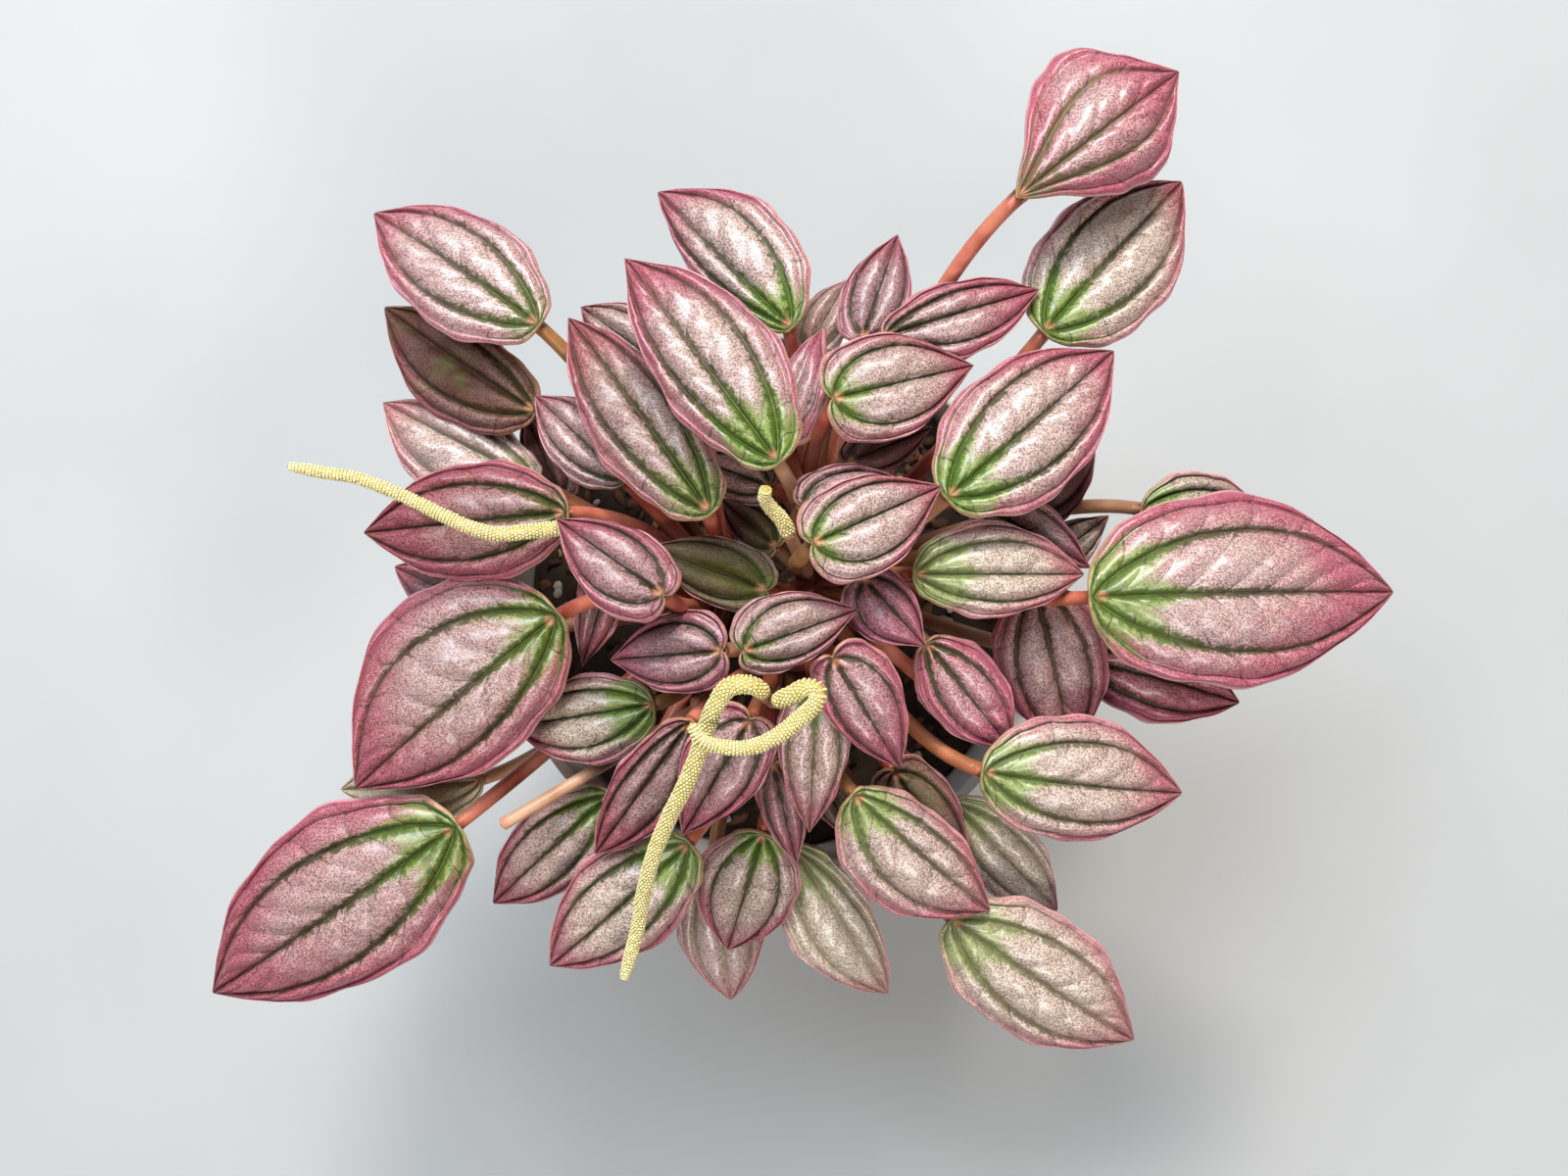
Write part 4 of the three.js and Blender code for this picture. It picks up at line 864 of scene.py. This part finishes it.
STEM_DEPTH = 12
STEM_RADIUS = 3.6
CROWNS = {"west": (-8, 2, 92), "east": (7, 4, 93), "south": (1, -10, 93)}
PETIOLE_ROOT = 1.6
PETIOLE_END = 1.2
PEDUNCLE_RADIUS = 1.1
ROOT_TOP = 2
ROOT_DROP = 8
ROOT_REACH = 60
LEAVE_UP = 0.28
LEAVE_OUT = 0.1
STRAIGHT_END = 0.35
LEAST_CLIMB = 49
MOST_CLIMB = 74
SPIKES = {
    "spike_1": ("west", 1.35, [
        (-31.6, 12.5, 127.3), (-34.4, 12.4, 129.9), (-39.6, 11.8, 131.4), (-44.3, 11.4, 132), (-48.9, 12.5, 132),
        (-53.6, 14.6, 132), (-58.2, 16.9, 132), (-63, 19, 132), (-67.7, 20.6, 132), (-72.4, 21.3, 132),
        (-78.3, 22.4, 132)]),
    "spike_2": ("south", 1.6, [
        (-1.6, -13.7, 141), (-1.9, -13.2, 143.4), (-3.2, -12.4, 144.9), (-6.6, -12.6, 144.5), (-8.9, -15.7, 143),
        (-10.5, -19.6, 141), (-11.8, -23.6, 139), (-13.8, -28.4, 137), (-16.3, -33.4, 134), (-19.2, -40.2, 130),
        (-21.2, -47.1, 126), (-22.6, -54.2, 122), (-25.1, -63, 118)]),
    "spike_3": ("south", 1.55, [
        (1, -14.9, 142), (1.5, -14.6, 144.6), (3.3, -13.6, 146.6), (5.2, -12.6, 147.5), (7, -13.2, 148),
        (6.6, -15, 148), (4, -17.6, 147.5), (0.3, -20.4, 147), (-3.5, -21.9, 147), (-7.3, -21.9, 147),
        (-10.7, -20.9, 147.5), (-12.6, -18.1, 148)]),
    "spike_4": ("east", 1.4, [
        (2.6, 11.4, 131), (1.4, 13.7, 133.5), (-0.3, 15.5, 135.5), (-1.3, 17, 137.5), (-1, 18.5, 139.5)]),
}
OLD_STALKS = [
    ("south", (-28, -27, 113), (-46, -37.5, 113)),
    ("south", (-6, -15, 112), (-13, -16.5, 121)),
]


def bezier(controls, steps):
    """Points at even steps of a Bezier curve's parameter."""
    t = np.linspace(0, 1, steps + 1)[:, None]
    order = len(controls) - 1
    return sum(
        math.comb(order, k) * t**k * (1 - t) ** (order - k) * np.array(c, float) for k, c in enumerate(controls)
    )


def catmull(points, spacing):
    """A centripetal Catmull-Rom curve through the points, read off at even distances."""
    p = np.array(points, float)
    p = np.concatenate([[2 * p[0] - p[1]], p, [2 * p[-1] - p[-2]]])
    knots = np.concatenate([[0], np.cumsum(np.linalg.norm(np.diff(p, axis=0), axis=1) ** 0.5)])
    at = np.linspace(knots[1], knots[-2], 60 * len(points))
    k = np.clip(np.searchsorted(knots, at, side="right") - 1, 1, len(p) - 3)
    a = at[:, None]
    knot = [knots[k + j][:, None] for j in (-1, 0, 1, 2)]
    level = [p[k + j] for j in (-1, 0, 1, 2)]
    for width in (1, 2, 3):
        ends = {1: (0, 1, 2), 2: (0, 1), 3: (1,)}[width]
        if width < 3:
            level = [
                ((knot[j + width] - a) * level[j] + (a - knot[j]) * level[j + 1]) / (knot[j + width] - knot[j])
                for j in ends
            ]
        else:
            level = [((knot[2] - a) * level[0] + (a - knot[1]) * level[1]) / (knot[2] - knot[1])]
    curve = level[0]
    gone = np.concatenate([[0], np.cumsum(np.linalg.norm(np.diff(curve, axis=0), axis=1))])
    even = np.linspace(0, gone[-1], max(2, round(gone[-1] / spacing)) + 1)
    return np.stack([np.interp(even, gone, curve[:, j]) for j in range(3)], -1)


def path_frames(path):
    """For each point of a path: its direction, and two sides carried along without twist."""
    ahead = np.gradient(path, axis=0)
    ahead /= np.linalg.norm(ahead, axis=1, keepdims=True)
    side = unit(np.cross(ahead[0], [0.31, 0.52, 0.79]))
    sides = []
    for direction in ahead:
        side = unit(side - (side @ direction) * direction)
        sides.append(side)
    sides = np.array(sides)
    return ahead, sides, np.cross(ahead, sides)


def stalk(path, radius, own, sides=14):
    """A round stalk along a path, closed at both ends. own is a number from 0 to 1 for its colour, and
    share runs from 0 at the root to 1 at the end."""
    radius = np.broadcast_to(radius, len(path)).copy()
    ahead, side, over = path_frames(path)
    turn = np.linspace(0, 2 * np.pi, sides, endpoint=False)
    ring = np.cos(turn)[None, :, None] * side[:, None] + np.sin(turn)[None, :, None] * over[:, None]
    points = path[:, None] + radius[:, None, None] * ring
    count = len(path)
    index = np.arange(count * sides).reshape(count, sides)
    index = np.concatenate([index, index[:, :1]], 1)
    ends = np.stack([path[0] - 0.4 * radius[0] * ahead[0], path[-1] + 0.4 * radius[-1] * ahead[-1]])
    near = np.stack([np.full(sides, count * sides), index[0, 1:], index[0, :-1]], -1)
    far = np.stack([index[-1, :-1], index[-1, 1:], np.full(sides, count * sides + 1)], -1)
    share = np.append(np.repeat(np.linspace(0, 1, count), sides), [0, 1])
    return (
        np.concatenate([points.reshape(-1, 3), ends]),
        grid_faces(index)[:, ::-1],
        np.concatenate([near, far]),
        np.stack([share, np.full(len(share), own), np.zeros(len(share))], -1),
    )


def stalk_route(crown, end, arrive, steps):
    """A cubic Bezier curve that leaves the crown upwards and points along arrive at its end."""
    x, y, top = CROWNS[crown]
    level = np.array([end[0] - x, end[1] - y, 0])
    reach = np.linalg.norm(level)
    root = np.array([x, y, top - ROOT_TOP - ROOT_DROP * min(1, reach / ROOT_REACH)])
    span = np.linalg.norm(end - root)
    leave = root + LEAVE_UP * span * UP + LEAVE_OUT * span * level / reach
    return bezier([root, leave, end - STRAIGHT_END * span * arrive, end], steps)


def petiole(blade):
    """The blade's stalk, from 1.6 mm radius at the crown to 1.2 mm, with a swollen joint at the blade."""
    x, y, top = CROWNS[blade.crown]
    reach = math.hypot(blade.start[0] - x, blade.start[1] - y)
    climb = math.degrees(math.atan2(blade.start[2] - top, reach))
    angle = math.radians(min(max(climb, LEAST_CLIMB), MOST_CLIMB) if blade.steep is None else blade.steep)
    run = turned(blade.axis, blade.normal, blade.swing)
    arrive = run * math.cos(angle) + blade.normal * math.sin(angle)
    end = blade.start - blade.normal * (THICKNESS / 2 + SEAT_GAP)
    path = stalk_route(blade.crown, end, arrive, 30)
    path = np.concatenate([path, [blade.start - blade.normal * 0.58]])
    share = np.linspace(0, 1, len(path))
    radius = PETIOLE_ROOT + (PETIOLE_END - PETIOLE_ROOT) * share
    radius = radius * (1 + 0.04 * np.sin(9 * share + blade.number)) + 0.22 * np.exp(-(((share - 1) / 0.03) ** 2))
    rosy, green, _ = blade.colouring
    return stalk(path, radius, 0.97 if green > 1.2 and rosy < 0.25 else (0.37 * blade.number) % 1)


def stem(name):
    """The crown's short stem: a knobbly taper that stands in the mix and ends in a rounded top."""
    x, y, top = CROWNS[name]
    z = np.linspace(SOIL_LEVEL - STEM_DEPTH, top, 24)
    share = (z - z[0]) / (z[-1] - z[0])
    path = np.stack([np.full_like(z, x), np.full_like(z, y), z], -1)
    radius = STEM_RADIUS * (1 - 0.25 * share) * (1 + 0.06 * np.sin(26 * share)) * np.sqrt(1.02 - share**12)
    return stalk(path, radius, 0.5, 20)


def peduncle(name):
    crown, _, route = SPIKES[name]
    line = catmull(route, 0.3)
    arrive = unit(line[1] - line[0])
    path = stalk_route(crown, line[0] - SEAT_GAP * arrive, arrive, 34)
    path = np.concatenate([path, [line[0] + 0.5 * arrive]])
    return stalk(path, PEDUNCLE_RADIUS, 0.9)


def old_stalk(row):
    crown, bend, end = row
    x, y, top = CROWNS[crown]
    return stalk(bezier([(x, y, top - ROOT_DROP), bend, end], 24), PEDUNCLE_RADIUS, 0.97)


fleshy = Finish("fleshy stalk", Roughness=0.35, Specular_IOR_Level=0.5)
share, own, _ = fleshy.parts(fleshy.attribute("stalk", "Vector"))
flecks = fleshy.noise(0.7, detail=4, roughness=0.65)
drift = fleshy.noise(8, detail=2)
rust = fleshy.mix(drift.band(0.35, 0.7), tint(0.60, 0.25, 0.19), tint(0.78, 0.46, 0.36))
tan = fleshy.mix(drift.band(0.35, 0.7), tint(0.62, 0.43, 0.31), tint(0.74, 0.57, 0.45))
olive = fleshy.mix(drift.band(0.3, 0.7), tint(0.52, 0.40, 0.20), tint(0.72, 0.46, 0.28))
body = fleshy.mix(own.band(0.55, 0.85), rust, olive)
body = fleshy.mix(own.band(0.86, 0.9), body, tan)
body = fleshy.mix(share.band(0.75, 0.1) * 0.75, body, tint(0.32, 0.11, 0.08))
body = fleshy.mix(flecks.band(0.55, 0.75) * 0.35, body, tint(0.86, 0.62, 0.46))
fleshy.feed("Base Color", fleshy.mix(share.band(0.95, 1.0) * 0.6, body, tint(0.85, 0.55, 0.38)))
fleshy.feed("Roughness", 0.3 + 0.2 * flecks)
fleshy.bump(flecks, 0.08)


def gathered(parts):
    """Several (points, quads, triangles, values) meshes as one."""
    starts = np.cumsum([0] + [len(p[0]) for p in parts[:-1]])
    return (
        np.concatenate([p[0] for p in parts]),
        np.concatenate([p[1] + s for p, s in zip(parts, starts)]),
        np.concatenate([p[2] + s for p, s in zip(parts, starts)]),
        np.concatenate([p[3] for p in parts]),
    )


for name in CROWNS:
    parts = [stem(name)] + [petiole(blade) for blade in blades if blade.crown == name]
    parts += [peduncle(key) for key, row in SPIKES.items() if row[0] == name]
    parts += [old_stalk(row) for row in OLD_STALKS if row[0] == name]
    points, quads, fans, values = gathered(parts)
    piece = add_piece(f"stalks_{name}", points, [quads, fans], fleshy.material, {"stalk": values})
    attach(piece, "root")
    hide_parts(f"crown_{name}")
points, quads, fans, values = gathered([petiole(blade) for blade in low_blades])
piece = add_piece("stalks_low", points, [quads, fans], fleshy.material, {"stalk": values})
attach(piece, "root")


# ---- Flower spikes ----
# Slender cream-green spikes, each a fleshy cord set all round with rows of tiny knob-like flowers
# that have no petals. They grow on the ends of the peduncles.

SPIKE_NECK = 0.8
SPIKE_TAPER = 0.74
KNOB = 0.3


def spike(widest, route):
    """The cord along the spike's route, and a small dome for each flower: rings of them half a step
    apart, turned half a flower from ring to ring."""
    path = catmull(route, 0.56)
    share = np.linspace(0, 1, len(path))
    radius = widest * np.minimum(SPIKE_NECK + 2 * share, 1 + (SPIKE_TAPER - 1) * share) - 0.85 * KNOB
    radius = radius * np.sqrt(1.03 - share**30)
    core = stalk(path, radius, 0.2)
    core = (*core[:3], np.append(np.repeat(share, 14), [0, 1])[:, None] * [1, 0, 0])
    around = 13
    step = np.arange(0, len(path) - 1.5, 1.0)
    low = step.astype(int)
    ahead, side, over = path_frames(path)
    turn = 2 * np.pi * (np.arange(around) + 0.5 * (np.arange(len(low)) % 2)[:, None]) / around
    out = np.cos(turn)[..., None] * side[low][:, None] + np.sin(turn)[..., None] * over[low][:, None]
    wander = draw.normal(0, 0.03, (len(low), around, 3))
    centre = path[low][:, None] + radius[low][:, None, None] * out + wander
    centre, out = centre.reshape(-1, 3), out.reshape(-1, 3)
    unit_ball, quads, caps = ball(3, 6)
    size = KNOB * draw.uniform(0.85, 1.08, len(centre))
    points = centre[:, None] + size[:, None, None] * unit_ball
    shift = np.arange(len(centre))[:, None, None] * len(unit_ball)
    height = (unit_ball @ out.T).T
    values = np.stack(
        [
            np.repeat(share[low], around * len(unit_ball)),
            np.clip(height, 0, 1).ravel(),
            np.repeat(draw.random(len(centre)), len(unit_ball)),
        ],
        -1,
    )
    return gathered([core, (points.reshape(-1, 3), (quads + shift).reshape(-1, 4), (caps + shift).reshape(-1, 3), values)])


flower = Finish("flower spike", Roughness=0.55)
share, height, own = flower.parts(flower.attribute("flower", "Vector"))
soft = flower.noise(1.5, detail=3)
knobs = flower.mix(own, tint(0.88, 0.82, 0.55), tint(0.96, 0.91, 0.73))
hollow = flower.mix(soft, tint(0.68, 0.60, 0.28), tint(0.78, 0.70, 0.40))
colour = flower.mix(height.band(0.1, 0.7), hollow, knobs)
colour = flower.mix(own.band(0.9, 0.93) * height * 0.6, colour, tint(0.55, 0.36, 0.18))
flower.feed("Base Color", flower.mix(share.band(0.06, 0.0) * 0.6, colour, tint(0.70, 0.50, 0.25)))
flower.feed("Roughness", 0.5 + 0.2 * soft)
flower.bump(soft, 0.05)

for name, (_, widest, route) in SPIKES.items():
    points, quads, fans, values = spike(widest, route)
    piece = add_piece(f"flower_{name}", points, [quads, fans], flower.material, {"flower": values})
    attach(piece, "root")
    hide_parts(name)


# ---- Stage, lights and camera ----
# A plain pale table top under the pot, large soft lamps over it, and a camera straight above the plant.

table = Finish("pale table", Roughness=0.6)
haze = table.noise(60, detail=3)
table.feed("Base Color", table.mix(haze, tint(0.66, 0.66, 0.655), tint(0.70, 0.70, 0.695)))
wide = 3000.0
corners = np.array([[-wide, -wide, 0], [wide, -wide, 0], [wide, wide, 0], [-wide, wide, 0]])
floor = add_piece("table_top", corners, [np.array([[0, 1, 2, 3]])], table.material)

world = bpy.data.worlds.new("studio")
world.use_nodes = True
world.node_tree.nodes["Background"].inputs["Color"].default_value = (0.9, 0.94, 1.0, 1.0)
world.node_tree.nodes["Background"].inputs["Strength"].default_value = 0.14
bpy.context.scene.world = world
bpy.context.scene.view_settings.view_transform = "Standard"


def lamp(name, place, size, power, colour):
    """A square soft lamp that faces the plant."""
    data = bpy.data.lights.new(name, "AREA")
    data.shape, data.size, data.energy, data.color = "SQUARE", size, power, colour
    thing = bpy.data.objects.new(name, data)
    place = np.array(place)
    away = unit(place - np.array([0, 0, 0.11]))
    thing.location = place
    thing.rotation_euler = (math.acos(away[2]), 0, math.atan2(away[1], away[0]) + math.pi / 2)
    bpy.context.scene.collection.objects.link(thing)


lamp("sun_window", (0.1, 0.9, 1.0), 0.2, 13, (1.0, 0.92, 0.82))
lamp("sky_window", (-0.3, 0.56, 1.1), 0.75, 19, (0.78, 0.89, 1.0))
lamp("room", (0.25, -0.7, 1.0), 0.4, 7.5, (1.0, 0.97, 0.93))

camera_data = bpy.data.cameras.new("camera")
camera_data.lens, camera_data.sensor_width = 50, 36
camera_data.clip_start, camera_data.clip_end = 0.01, 20
camera = bpy.data.objects.new("camera", camera_data)
camera.location = (0.0018, 0.0027, 0.483)
bpy.context.scene.collection.objects.link(camera)
bpy.context.scene.camera = camera
